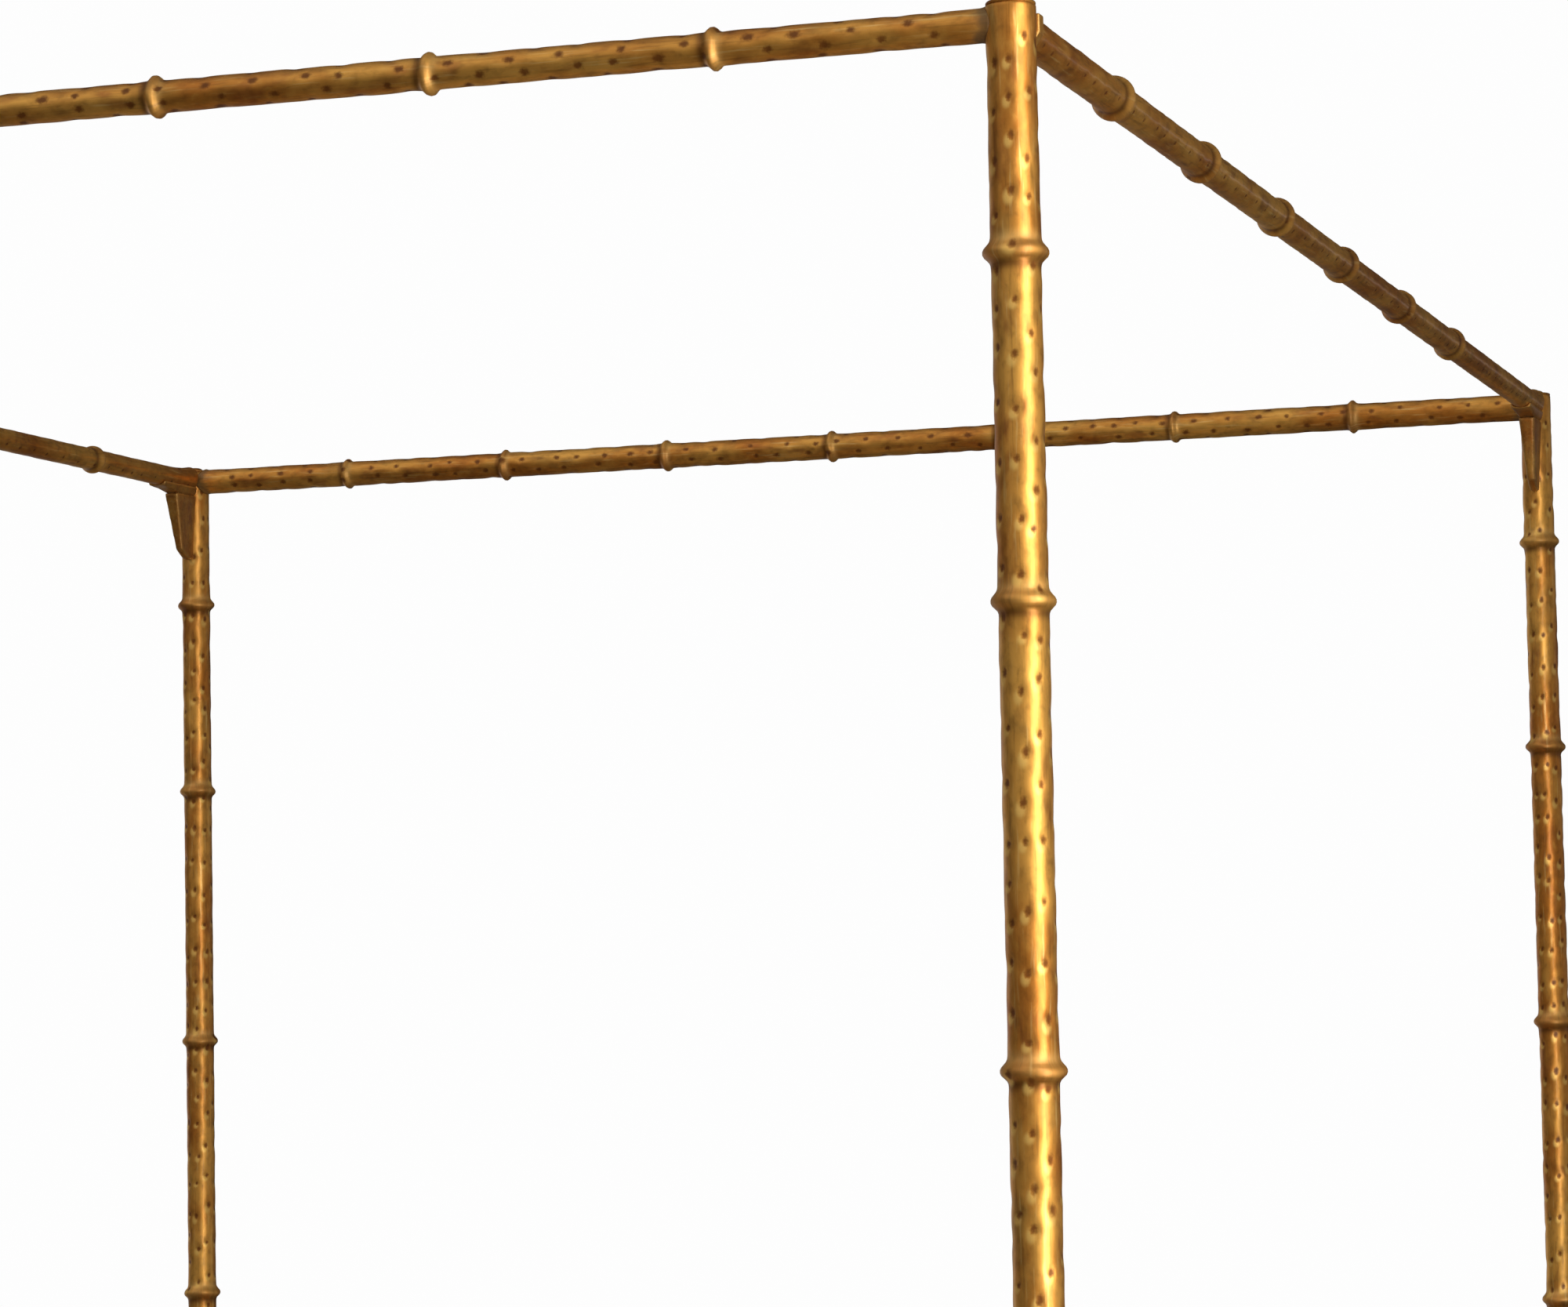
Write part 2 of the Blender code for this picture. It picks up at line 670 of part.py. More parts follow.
HEAD_COPES = (COPES["head_right"], COPES["head_left"])
FOOT_COPES = (COPES["foot_right"], COPES["foot_left"])
cross_rail("canopy_head_rail", HALF_L, CANOPY_Z, HEAD_RAIL_R, CANOPY_SEGMENTS, HEAD_COPES)
cross_rail("canopy_foot_rail", -HALF_L, CANOPY_Z, FOOT_RAIL_R, CANOPY_SEGMENTS, FOOT_COPES)
board("head", HALF_L, HEADBOARD_TOP_Z, HEAD_COPES)
board("foot", -HALF_L, FOOTBOARD_TOP_Z, FOOT_COPES)

for side_name, side_sign in SIDES.items():
    side_rail(side_name, side_sign)
    hook(side_name, side_sign)
    hook_socket(side_name, side_sign, COPES["head_" + side_name])
    cradle(side_name, side_sign, COPES["foot_" + side_name])
    mattress_rail(side_name, side_sign)

for slat_number in range(SLAT_COUNT):
    slat(slat_number)
centre_support()
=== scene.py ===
"""Looks of the gilt faux-bamboo canopy bed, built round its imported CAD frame. Metres, +Z up."""

import math

import bmesh
import bpy
import numpy as np
from mathutils import Matrix, Vector


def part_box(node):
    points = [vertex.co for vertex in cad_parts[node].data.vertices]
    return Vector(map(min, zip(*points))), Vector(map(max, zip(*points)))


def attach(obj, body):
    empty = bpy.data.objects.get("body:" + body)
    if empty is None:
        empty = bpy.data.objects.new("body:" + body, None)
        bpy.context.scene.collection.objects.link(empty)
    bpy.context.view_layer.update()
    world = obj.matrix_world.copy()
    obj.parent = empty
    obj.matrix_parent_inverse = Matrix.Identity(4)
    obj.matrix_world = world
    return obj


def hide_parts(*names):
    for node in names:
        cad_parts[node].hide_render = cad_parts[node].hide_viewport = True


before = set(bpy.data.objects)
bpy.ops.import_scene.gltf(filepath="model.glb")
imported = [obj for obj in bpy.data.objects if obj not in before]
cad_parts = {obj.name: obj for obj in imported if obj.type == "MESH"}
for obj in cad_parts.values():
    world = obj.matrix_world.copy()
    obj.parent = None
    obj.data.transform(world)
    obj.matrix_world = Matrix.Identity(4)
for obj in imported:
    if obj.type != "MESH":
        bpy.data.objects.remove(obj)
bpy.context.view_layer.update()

# ---- camera --------------------------------------------------------------------------
CAMERA_SPOT = (1.5924, -3.9276, 1.5109)
CAMERA_PITCH = 94.12
CAMERA_ROLL = -1.04
CAMERA_TURN = 18.245
CAMERA_LENS = 103.6

# ---- light ---------------------------------------------------------------------------
BACKDROP = (0.985, 0.985, 0.985, 1.0)
SOFT_LIGHT = (0.62, 0.62, 0.62, 1.0)
ROOM_GREY = (0.80, 0.80, 0.80, 1.0)
ROOM_DIM = 0.030                    # what reflections see of the room between the lobes
ROOM_LOBES = (                      # direction, strength and focus of its soft bright areas
    ((-0.45, -0.66, 0.60), 0.80, 7.0),
    ((-0.20, -0.30, 0.93), 0.40, 4.0),
    ((0.54, -0.82, 0.15), 0.44, 6.0),
    ((0.95, -0.2, 0.2), 0.12, 2.0),
    ((-0.80, 0.58, -0.12), 0.75, 10.0),
    ((0.90, 0.42, -0.04), 0.32, 12.0),
)
LAMPS = (                           # name, place, aim, width, height, power, seen in reflections
    ("key", (1.71, -1.64, 1.60), (0.7, -1.0, 1.6), 0.60, 2.60, 27.0, True),
    ("front", (3.0, -5.7, 2.6), (0.0, 0.3, 1.6), 1.6, 2.4, 5.0, True),
    ("strip", (9.6, 28.7, 2.45), (0.83, 0.0, 2.1), 2.5, 0.30, 20.0, True),
    ("overhead", (-0.3, 0.0, 5.2), (0.0, 0.0, 1.0), 2.6, 2.6, 90.0, False),
)
FLOOR_RADIUS = 14.0
FLOOR_SIDES = 96
FLOOR_TONES = ((0.80, 0.80, 0.79, 1), (0.83, 0.83, 0.82, 1))
FLOOR_FADE = (2.0, 10.0, 0.20, 0.44)   # glow rises from 0.20 to 0.44 over these distances

# ---- sizes shared with the CAD source ------------------------------------------------
SEGMENT = 0.3048
POST_R = 0.0167
POST_NODE_LEN = 0.0216
POST_NODE_RISE = 0.0052
POST_NODE_STEPS = (0.5, 1.25, 2.25, 3.25, 4.25, 5.25, 6.25)   # in segments below the canopy
SIDE_RAIL_R = 0.0126
HEAD_RAIL_R = 0.0148
FOOT_RAIL_R = 0.0115
BOARD_RAIL_R = 0.0121
RAIL_NODE_LEN = 0.0150
RAIL_NODE_RISE = 0.0038
CANOPY_PARTS = 8            # parts that the rings divide a canopy rail into
BOARD_PARTS = 4
SIDE_RAIL_NODES = {"right": 6, "left": 7}
SPINDLE_R = 0.0080
SPINDLE_NODE_LEN = 0.0110
SPINDLE_NODE_RISE = 0.0026
CORNERS = ("foot_right", "head_right", "head_left", "foot_left")
SIDES = ("right", "left")

# ---- hammered bamboo surface ---------------------------------------------------------
TUBE_STEP = 0.0018          # spacing of the mesh rings along a tube
POST_SIDES = 56
RAIL_SIDES = 44
SPINDLE_SIDES = 32
SIDE_NODE_LEN = 0.0225      # the side rails' rings are longer than the CAD's
POST_LEAN = 0.08            # rings gentle above and steep below
SIDE_LEAN = -0.16           # rings steep towards the head, gentle towards the foot
PIT_WIDTH = 0.0026          # half width of a dimple's dark core
PIT_LENGTH = 0.0029
PIT_DEPTH = 0.00030         # of the core
DISH_DEPTH = 0.00058        # of the wide dish round it
DISH_REACH = 1.7            # dish radius over core radius
PIT_PITCH = 0.036           # mean spacing of dimples in a row
SPINDLE_PITCH = 0.046
POST_ROWS = (8, 0.157)      # rows of dimples round a tube, angle of the first
RAIL_ROWS = (7, 0.307)
SIDE_ROWS = (4, 0.9)
SPINDLE_ROWS = (5, 0.0)
RAIL_PIT = 1.25             # size of the dimples on the cross rails, against a post's
SIDE_PIT = 0.75             # and on the two side rails, where they are faint
SIDE_FLARE = 0.0050         # swelling of a side rail's upper half where it meets a head post
HAMMERED = 0.00014          # size of the waves left by hand finishing on a post
HAMMER_WAVES = (            # length along, turns round the tube, share
    (0.046, 1, 0.8), (0.031, 3, 0.6), (0.083, 2, 0.9), (0.024, 3, 0.5), (0.150, 0, 0.7),
)
DIMPLE_WINDOW = 6.75 * PIT_LENGTH   # how far along a tube a dimple is worked out
PAINTED_GLINT_OFFSET = (0.8, 1.1)   # of the painted highlight spot beside a dimple, in core radii
PITCH_STEPS = (0.70, 0.90, 1.0, 1.1, 1.25)
ROW_DRIFT = 0.16            # of a row's angle over a tube's length
ANGLE_SCATTER = 0.07
SIZE_RANGE = (0.85, 1.15)
STRETCH_RANGE = (0.95, 1.4)
FAR = 9.0                   # dimple distance stored where there is no dimple near
RING_SWAY = 0.00045         # wander of a ring round its tube
RING_FILL = 0.94            # of the CAD ring's rise, which leaves room for its unevenness
RING_UNEVEN = 0.04
RING_SHOULDER = 0.024       # broad low swelling round a ring, in tube radii
RING_MARKS = (              # crest, neck above (painted highlight), neck below (painted shade): centre and width in half rings
    (0.0, 0.35), (0.75, 0.40), (-0.85, 0.40),
)
WELD = 0.0010               # fillet where a tube meets a post
SPINDLE_WELD = 0.0016
WELD_LENGTH = 0.0045
JOINT_LAP = 0.0004          # how far a coped tube reaches into the member it meets
FLARE_LENGTH = 0.060
COPE_REACH = 0.012          # length over which a tube's end is shaped to a round member
RIM_LENGTH = 0.0012         # rounding of a tube's free end
RIM_DROP = 0.0011
HOLLOW_DARK_REACH = 0.010         # of the darker, duller colour towards the corners between members

# ---- castings ------------------------------------------------------------------------
CASTINGS = (                # piece, start of the CAD node's name, voxel size, smoothing
    ("socket", "hook_socket_", 0.0013, 26),
    ("hook", "canopy_hook_", 0.0012, 20),
    ("cradle", "rail_cradle_", 0.0008, 8),
)
CURVE_FULL = 0.10           # curvature at which an edge is fully worn, a hollow fully dark
CAP_SIDES = 48
CAP_PROFILE = (             # radius, height on the post's end, share of the rise, fillet
    (POST_R - 0.0030, -0.0006, 0.0, 0.0),
    (POST_R - 0.0002, -0.0006, 0.0, 0.0),
    (POST_R, 0.0008, 0.0, 0.0006),
    (POST_R - 0.0010, 0.0018, 0.0, 0.0008),
    (0.0100, 0.0019, 0.0, 0.0008),
    (0.0089, 0.0, 0.50, 0.0010),
    (0.0084, 0.0, 0.72, 0.0014),
    (0.0056, 0.0, 0.97, 0.0024),
    (0.0006, 0.0, 1.00, 0.0),
)

# ---- mattress base, fasteners and feet -----------------------------------------------
FACE_START = 0.4            # share of a disc's radius where the flat of its face begins
GLIDE_PROFILE = (           # share of radius, share of height, height above that, fillet
    (0.50, 0.0, 0.0, 0.0),
    (0.90, 0.0, 0.0, 0.0006),
    (1.00, 0.0, 0.0016, 0.0012),
    (1.00, 0.62, 0.0, 0.0020),
    (0.86, 1.0, -0.0002, 0.0016),
    (0.50, 1.0, -0.0002, 0.0),
)
PAD_PROFILE = (             # share of radius, height, fillet
    (0.600, 0.0, 0.0),
    (0.930, 0.0, 0.0008),
    (1.000, 0.0014, 0.0014),
    (0.985, 0.0046, 0.0016),
    (0.800, 0.0072, 0.0030),
    (0.520, 0.0080, 0.0),
)
SLAT_EDGE = 0.0022          # rounding of the slats' edges
ANGLE_EDGE = 0.0008         # of the angle iron rails
BRACKET_EDGE = 0.0009
BOX_EDGE = 0.0018           # of the square centre rail
DISC_SIDES = 40
HEX_SIDES = 48
PAD_SIDES = 56
STUD_SIDES = 32
SHANK_SIDES = 24
LEG_GAP = 0.0004            # between a centre leg and its glide
LEG_EDGE = 0.0006
SCREW_R = 0.0042
SCREW_INSET = 0.016         # from a slat's end to its screws
SCREW_SPREAD = 0.018        # from the slat's centre line to the two screws at its end
SCREW_HEAD = (              # share of radius, height on the slat
    (0.90, -0.0012), (1.00, -0.0002), (0.97, 0.0003), (0.80, 0.0006),
)
RECESS_WIDE = 0.62          # reach of the cross recess along and between its arms
RECESS_NARROW = 0.26
RECESS_TOP = 0.0007
RECESS_WALL = -0.0006       # foot of its walls, drawn in to a share of their reach
RECESS_TAPER = 0.92
RECESS_DEPTH = 0.0010
BOLT_FLATS = 0.0125         # across the flats of the rail bolts' heads and nuts
BOLT_HEAD = 0.0040
BOLT_NUT = 0.0041
BOLT_CHAMFER = 0.0007
WASHER_R = 0.0074
WASHER_FACE = 0.0050        # from a bolt's ends to the inner faces of its washers
WASHER_LAP = 0.0001         # sunk into the head or the nut
WASHER_EDGE = 0.0003
SHANK_R = 0.0038
FOOT_NUT_FLATS = 0.0158
FOOT_NUT = (0.0078, 0.0101)   # heights of its two faces
FOOT_NUT_CHAMFER = 0.0005
STUD_R = 0.0048
THREAD_PITCH = 0.0015
THREAD_DEPTH = 0.00045


def srgb(red, green, blue):
    """A colour given as 0-255 display values, as linear RGBA."""
    def linear(value):
        value /= 255.0
        return value / 12.92 if value <= 0.04045 else ((value + 0.055) / 1.055) ** 2.4
    return (linear(red), linear(green), linear(blue), 1.0)


# ---- node material helpers -----------------------------------------------------------
class Nodes:
    """Short names for the nodes of one shader tree."""

    def __init__(self, tree):
        self.tree = tree

    def new(self, kind, **settings):
        """A new node, its kind given without the ShaderNode that starts it."""
        node = self.tree.nodes.new("ShaderNode" + kind)
        for key, value in settings.items():
            setattr(node, key, value)
        return node

    def link(self, value, socket):
        """Feeds a socket from another node's output, or sets it to a number or a colour."""
        if isinstance(value, bpy.types.NodeSocket):
            self.tree.links.new(value, socket)
        else:
            socket.default_value = value

    def coords(self, kind="Object"):
        return self.new("TexCoord").outputs[kind]

    def attribute(self, name, output="Vector"):
        return self.new("Attribute", attribute_name=name).outputs[output]

    def stretch(self, vector, scale, offset=(0, 0, 0)):
        node = self.new("Mapping")
        self.link(vector, node.inputs["Vector"])
        node.inputs["Scale"].default_value = scale
        node.inputs["Location"].default_value = offset
        return node.outputs["Vector"]

    def noise(self, vector, scale, detail=3.0, rough=0.55, twist=0.0):
        node = self.new("TexNoise")
        self.link(vector, node.inputs["Vector"])
        node.inputs["Scale"].default_value = scale
        node.inputs["Detail"].default_value = detail
        node.inputs["Roughness"].default_value = rough
        node.inputs["Distortion"].default_value = twist
        return node.outputs["Fac"]

    def wave(self, vector, scale, twist, detail=2.0):
        node = self.new("TexWave", wave_type="RINGS", rings_direction="X")
        self.link(vector, node.inputs["Vector"])
        node.inputs["Scale"].default_value = scale
        node.inputs["Distortion"].default_value = twist
        node.inputs["Detail"].default_value = detail
        node.inputs["Detail Scale"].default_value = 1.0
        return node.outputs["Fac"]

    def cells(self, vector, scale):
        """Distance to the nearest of a scatter of points."""
        node = self.new("TexVoronoi")
        self.link(vector, node.inputs["Vector"])
        node.inputs["Scale"].default_value = scale
        return node.outputs["Distance"]

    def math(self, operation, first, second=0.0, third=0.0):
        node = self.new("Math", operation=operation)
        for socket, value in zip(node.inputs, (first, second, third)):
            self.link(value, socket)
        return node.outputs[0]

    def vector_math(self, operation, first, second=(0, 0, 0), output="Vector"):
        node = self.new("VectorMath", operation=operation)
        self.link(first, node.inputs[0])
        self.link(second, node.inputs[1])
        return node.outputs[output]

    def part(self, vector, axis):
        node = self.new("SeparateXYZ")
        self.link(vector, node.inputs[0])
        return node.outputs[axis]

    def span(self, value, low, high, out_low=0.0, out_high=1.0, smooth=True):
        """value from low..high to out_low..out_high, clamped."""
        node = self.new("MapRange", interpolation_type="SMOOTHSTEP" if smooth else "LINEAR")
        self.link(value, node.inputs["Value"])
        for name, number in (("From Min", low), ("From Max", high), ("To Min", out_low),
                             ("To Max", out_high)):
            node.inputs[name].default_value = number
        return node.outputs["Result"]

    def mix(self, share, first, second):
        """The first colour, with a share of the second over it."""
        node = self.new("Mix", data_type="RGBA")
        self.link(share, node.inputs["Factor"])
        self.link(first, node.inputs[6])
        self.link(second, node.inputs[7])
        return node.outputs[2]

    def bump(self, height, distance, strength=1.0, normal=None):
        node = self.new("Bump")
        node.inputs["Distance"].default_value = distance
        node.inputs["Strength"].default_value = strength
        self.link(height, node.inputs["Height"])
        if normal is not None:
            self.link(normal, node.inputs["Normal"])
        return node.outputs["Normal"]

    def background(self, colour, strength=1.0):
        node = self.new("Background")
        self.link(colour, node.inputs["Color"])
        self.link(strength, node.inputs["Strength"])
        return node.outputs[0]

    def either(self, switch, off, on):
        """One of two shaders, by a switch of 0 or 1."""
        node = self.new("MixShader")
        for socket, value in zip(node.inputs, (switch, off, on)):
            self.link(value, socket)
        return node.outputs[0]


class Surface(Nodes):
    """The nodes of a new material."""

    def __init__(self, name):
        self.material = bpy.data.materials.new(name)
        self.material.use_nodes = True
        super().__init__(self.material.node_tree)
        self.shader = self.tree.nodes["Principled BSDF"]

    def finish(self, colour, roughness, normal=None, metallic=0.0, coat=0.0, coat_rough=0.12):
        inputs = self.shader.inputs
        self.link(colour, inputs["Base Color"])
        self.link(roughness, inputs["Roughness"])
        self.link(metallic, inputs["Metallic"])
        inputs["Coat Weight"].default_value = coat
        inputs["Coat Roughness"].default_value = coat_rough
        if normal is not None:
            self.link(normal, inputs["Normal"])
        return self.material


# ---- gilt ----------------------------------------------------------------------------
GOLD_PALE = srgb(255, 218, 138)
PAINTED_GLINT_GOLD = srgb(250, 202, 108)
GOLD = srgb(234, 172, 78)
GOLD_DEEP = srgb(196, 122, 42)
BRASS = srgb(186, 144, 84)
UMBER = srgb(116, 68, 22)
OLIVE = srgb(142, 112, 54)
RUSSET = srgb(156, 86, 40)
PIT_BROWN = srgb(118, 66, 20)
HOLLOW_DARK_BROWN = srgb(74, 56, 28)


def leaf_colour(n, broad, patch, mottle, streak):
    """Gold leaf, uneven in tone, with olive, russet and umber patina."""
    colour = n.mix(n.span(broad, 0.34, 0.66), GOLD, GOLD_DEEP)
    colour = n.mix(n.span(patch, 0.52, 0.72, 0.0, 0.40), colour, OLIVE)
    colour = n.mix(n.span(patch, 0.46, 0.28, 0.0, 0.55), colour, RUSSET)
    colour = n.mix(n.span(mottle, 0.44, 0.80, 0.0, 0.42), colour, UMBER)
    colour = n.mix(n.span(mottle, 0.46, 0.28, 0.0, 0.30), colour, GOLD)
    colour = n.mix(n.span(streak, 0.52, 0.76, 0.0, 0.42), colour, UMBER)
    return n.mix(n.span(streak, 0.44, 0.26, 0.0, 0.40), colour, GOLD_PALE)


def tube_marks(n, colour, rough, normal, patch, fleck):
    """Dark dimples with painted highlights beside them, brassy rings, a painted highlight on the
    neck above each ring and painted shade on the neck below it.
    """
    wobble = n.math("ADD", n.attribute("pit", "Fac"), n.span(fleck, 0.3, 0.7, -0.18, 0.18, False))
    core = n.span(wobble, 1.30, 0.35)
    # painted highlight: a pale spot below and beside each dimple, where its slope would catch the
    # light
    painted_glints = n.math("MULTIPLY", n.span(n.attribute("painted_glint_distance", "Fac"), 1.8, 0.6),
                  n.span(wobble, 0.8, 1.4))
    ring = n.attribute("ring")
    crest, above, below = (n.part(ring, axis) for axis in "XYZ")
    # patchy factor for the rings' worn crests and for their painted highlight
    wear_and_highlight_patches = n.span(patch, 0.3, 0.7, 0.55, 1.0, False)
    worn_crest = n.math("MULTIPLY", crest, wear_and_highlight_patches)
    painted_neck_highlight = n.math("MULTIPLY", above, wear_and_highlight_patches)
    # painted shade: the neck below each ring darkened to umber
    colour = n.mix(n.math("MULTIPLY", below, 0.75), colour, UMBER)
    # painted highlight: the neck above each ring paled, in patches
    colour = n.mix(n.math("MULTIPLY", painted_neck_highlight, 0.30), colour, GOLD_PALE)
    colour = n.mix(n.math("MULTIPLY", worn_crest, 0.45), colour, BRASS)
    # paint the highlight spots beside the dimples in pale gold
    colour = n.mix(n.math("MULTIPLY", painted_glints, 0.75), colour, PAINTED_GLINT_GOLD)
    colour = n.mix(n.math("MULTIPLY", core, 0.92), colour, PIT_BROWN)
    dull = n.math("ADD", n.math("ADD", core, above), crest)
    rough = n.math("ADD", rough, n.math("MULTIPLY", dull, 0.12))
    return colour, rough, n.bump(core, 0.0003, -0.4, normal)


def gilt(name, tube):
    """Gold leaf under brown patina, for a tube or for a casting."""
    n = Surface(name)
    place = n.attribute("tube") if tube else n.coords()
    along = n.stretch(place, (1.0, 1.0, 0.40)) if tube else place
    grain = (1, 1, 0.06) if tube else (1, 1, 1)
    broad = n.noise(along, 22.0, 3.0, 0.55, 0.3)
    patch = n.noise(n.stretch(along, (1, 1, 1), (3.1, 1.7, 5.2)), 46.0, 3.0, 0.58, 0.4)
    mottle = n.noise(n.stretch(place, (1, 1, 0.6), (1.3, 4.7, 0.6)), 150.0, 3.0, 0.55, 0.2)
    fleck = n.noise(place, 420.0, 2.0, 0.5)
    streak = n.noise(n.stretch(place, grain, (2.2, 0.9, 3.3)), 330.0, 3.0, 0.6)
    colour = leaf_colour(n, broad, patch, mottle, streak)
    rough = n.span(patch, 0.30, 0.70, 0.37, 0.50, False)
    height = n.math("ADD", n.math("MULTIPLY", fleck, 0.25), mottle)
    normal = n.bump(height, 0.0005, 0.28)
    if tube:
        colour, rough, normal = tube_marks(n, colour, rough, normal, patch, fleck)
    else:
        # painted shade: castings darkened throughout, standing in for the shadow on the corner
        # castings
        colour = n.mix(0.48, colour, UMBER)
        worn_edge = n.span(n.attribute("edge", "Fac"), 0.2, 1.0, 0.0, 0.16)
        colour = n.mix(worn_edge, colour, GOLD_PALE)
        rough = n.math("ADD", rough, 0.08)
    uneven = n.span(mottle, 0.3, 0.7, -0.15, 0.15, False)
    # darker, duller and rougher towards joints and hollows, unevenly
    hollow_darkening = n.span(n.math("ADD", n.attribute("hollow_darkening", "Fac"), uneven), 0.10, 0.90)
    colour = n.mix(n.math("MULTIPLY", hollow_darkening, 0.80), colour, HOLLOW_DARK_BROWN)
    metal = n.math("SUBTRACT", 0.88, n.math("MULTIPLY", hollow_darkening, 0.40))
    rough = n.math("ADD", rough, n.math("MULTIPLY", hollow_darkening, 0.10))
    return n.finish(colour, rough, normal, metallic=metal, coat=0.22, coat_rough=0.24)


def painted_steel(name):
    """Satin black powder coat with a fine orange peel."""
    n = Surface(name)
    place = n.coords()
    peel = n.noise(place, 900.0, 2.0, 0.5)
    dust = n.noise(place, 28.0, 4.0, 0.6)
    colour = n.mix(n.span(dust, 0.35, 0.75), srgb(30, 29, 28), srgb(52, 49, 45))
    rough = n.span(dust, 0.3, 0.7, 0.42, 0.60, False)
    return n.finish(colour, rough, n.bump(peel, 0.0002, 0.5), metallic=0.25)


def zinc_steel(name):
    """Zinc plated fasteners with a faint yellow passivation."""
    n = Surface(name)
    place = n.coords()
    cloud = n.noise(place, 160.0, 3.0, 0.6)
    scratch = n.noise(n.stretch(place, (1, 1, 9)), 240.0, 2.0, 0.5)
    colour = n.mix(n.span(cloud, 0.35, 0.7), srgb(196, 196, 192), srgb(182, 172, 140))
    rough = n.span(scratch, 0.3, 0.7, 0.26, 0.46, False)
    return n.finish(colour, rough, n.bump(scratch, 0.0001, 0.4), metallic=1.0)


def moulded_plastic(name):
    """Black moulded nylon with a spark-eroded grain, scuffed paler low down."""
    n = Surface(name)
    place = n.coords()
    grain = n.noise(place, 1400.0, 2.0, 0.5)
    scuff = n.noise(place, 90.0, 4.0, 0.65)
    colour = n.mix(n.span(scuff, 0.52, 0.74), srgb(26, 26, 27), srgb(58, 57, 55))
    rough = n.span(scuff, 0.3, 0.7, 0.48, 0.64, False)
    return n.finish(colour, rough, n.bump(grain, 0.0002, 0.5))


def pine(name):
    """Planed pine, its grain along X, with growth lines, a few knots and planing marks."""
    n = Surface(name)
    place = n.attribute("board")
    flow = n.stretch(place, (0.06, 1.0, 1.0))
    bend = n.noise(flow, 11.0, 3.0, 0.5)
    ring_at = n.vector_math("ADD", n.stretch(place, (0.045, 1.0, 1.0)),
                            n.vector_math("MULTIPLY", bend, (0.05, 0.05, 0.05)))
    rings = n.wave(ring_at, 34.0, 3.2)
    fibre = n.noise(n.stretch(place, (0.03, 1.0, 1.0)), 900.0, 3.0, 0.6)
    tone = n.noise(n.stretch(place, (0.3, 1.0, 1.0)), 5.0, 2.0, 0.5)
    knot = n.cells(n.stretch(place, (0.55, 1.0, 0.4)), 7.5)
    colour = n.mix(n.span(rings, 0.25, 0.95), srgb(222, 184, 132), srgb(190, 140, 84))
    colour = n.mix(n.span(fibre, 0.45, 0.75, 0.0, 0.5), colour, srgb(176, 128, 78))
    colour = n.mix(n.span(tone, 0.4, 0.7, 0.0, 0.35), colour, srgb(214, 164, 104))
    colour = n.mix(n.span(knot, 0.10, 0.045), colour, srgb(112, 66, 34))
    height = n.math("ADD", rings, n.math("MULTIPLY", fibre, 1.5))
    rough = n.span(fibre, 0.3, 0.7, 0.50, 0.68, False)
    return n.finish(colour, rough, n.bump(height, 0.0003, 0.4))


GILT_TUBE = gilt("gilt_tube", True)
GILT_CAST = gilt("gilt_casting", False)
BLACK_STEEL = painted_steel("black_steel")
ZINC = zinc_steel("zinc_steel")
PLASTIC = moulded_plastic("black_plastic")
PINE = pine("pine")


# ---- mesh helpers --------------------------------------------------------------------
def new_piece(name, mesh, material, body, replaces=()):
    """A visible piece that rides on a body, in place of the CAD nodes that it replaces."""
    mesh.materials.clear()
    mesh.materials.append(material)
    mesh.shade_smooth()
    piece = bpy.data.objects.new(name, mesh)
    bpy.context.scene.collection.objects.link(piece)
    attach(piece, body)
    if replaces:
        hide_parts(*replaces)
    return piece


def grid_mesh(name, points, low_tip, high_tip):
    """A closed skin over rings of points (ring, side, 3), shut by a fan at each end."""
    rings, sides = points.shape[:2]
    verts = np.concatenate([points.reshape(-1, 3), [low_tip, high_tip]])
    ring = np.arange(rings - 1)[:, None] * sides
    side = np.arange(sides)[None, :]
    after = (side + 1) % sides
    quads = np.stack(
        [ring + side, ring + after, ring + sides + after, ring + sides + side], axis=-1
    ).reshape(-1, 4)
    last = (rings - 1) * sides
    low = [(rings * sides, (i + 1) % sides, i) for i in range(sides)]
    high = [(rings * sides + 1, last + i, last + (i + 1) % sides) for i in range(sides)]
    mesh = bpy.data.meshes.new(name)
    mesh.from_pydata(verts.tolist(), [], quads.tolist() + low + high)
    return mesh


def add_attribute(mesh, name, kind, values):
    """A number or vector on every point of a mesh, for its material to read."""
    attribute = mesh.attributes.new(name, kind, "POINT")
    field = "vector" if kind == "FLOAT_VECTOR" else "value"
    attribute.data.foreach_set(field, np.asarray(values, np.float32).ravel())


def bead(distance):
    """Height of a node ring, 0 to 1, by distance from its crest over its half length."""
    return np.exp(-math.log(2) * (np.abs(distance) / 0.41) ** 2.6)


def hump(distance, centre, width):
    """1 at a centre, falling smoothly to nothing a few widths away."""
    return np.exp(-(((distance - centre) / width) ** 2))


def dimple_spots(rng, length, rows, pitch, scale):
    """(distance along, angle, size, stretch) of dimples in drifting rows round a tube."""
    count, first = rows
    spots = []
    for row in range(count):
        drift = rng.uniform(-ROW_DRIFT, ROW_DRIFT)
        at = rng.uniform(0.6, 1.4) * pitch
        while at < length - 0.6 * pitch:
            angle = first + math.tau * row / count + drift * (at / length - 0.5)
            angle += rng.normal(0, ANGLE_SCATTER)
            size = scale * rng.uniform(*SIZE_RANGE)
            spots.append((at, angle % math.tau, size, rng.uniform(*STRETCH_RANGE)))
            at += pitch * rng.choice(PITCH_STEPS)
    return spots


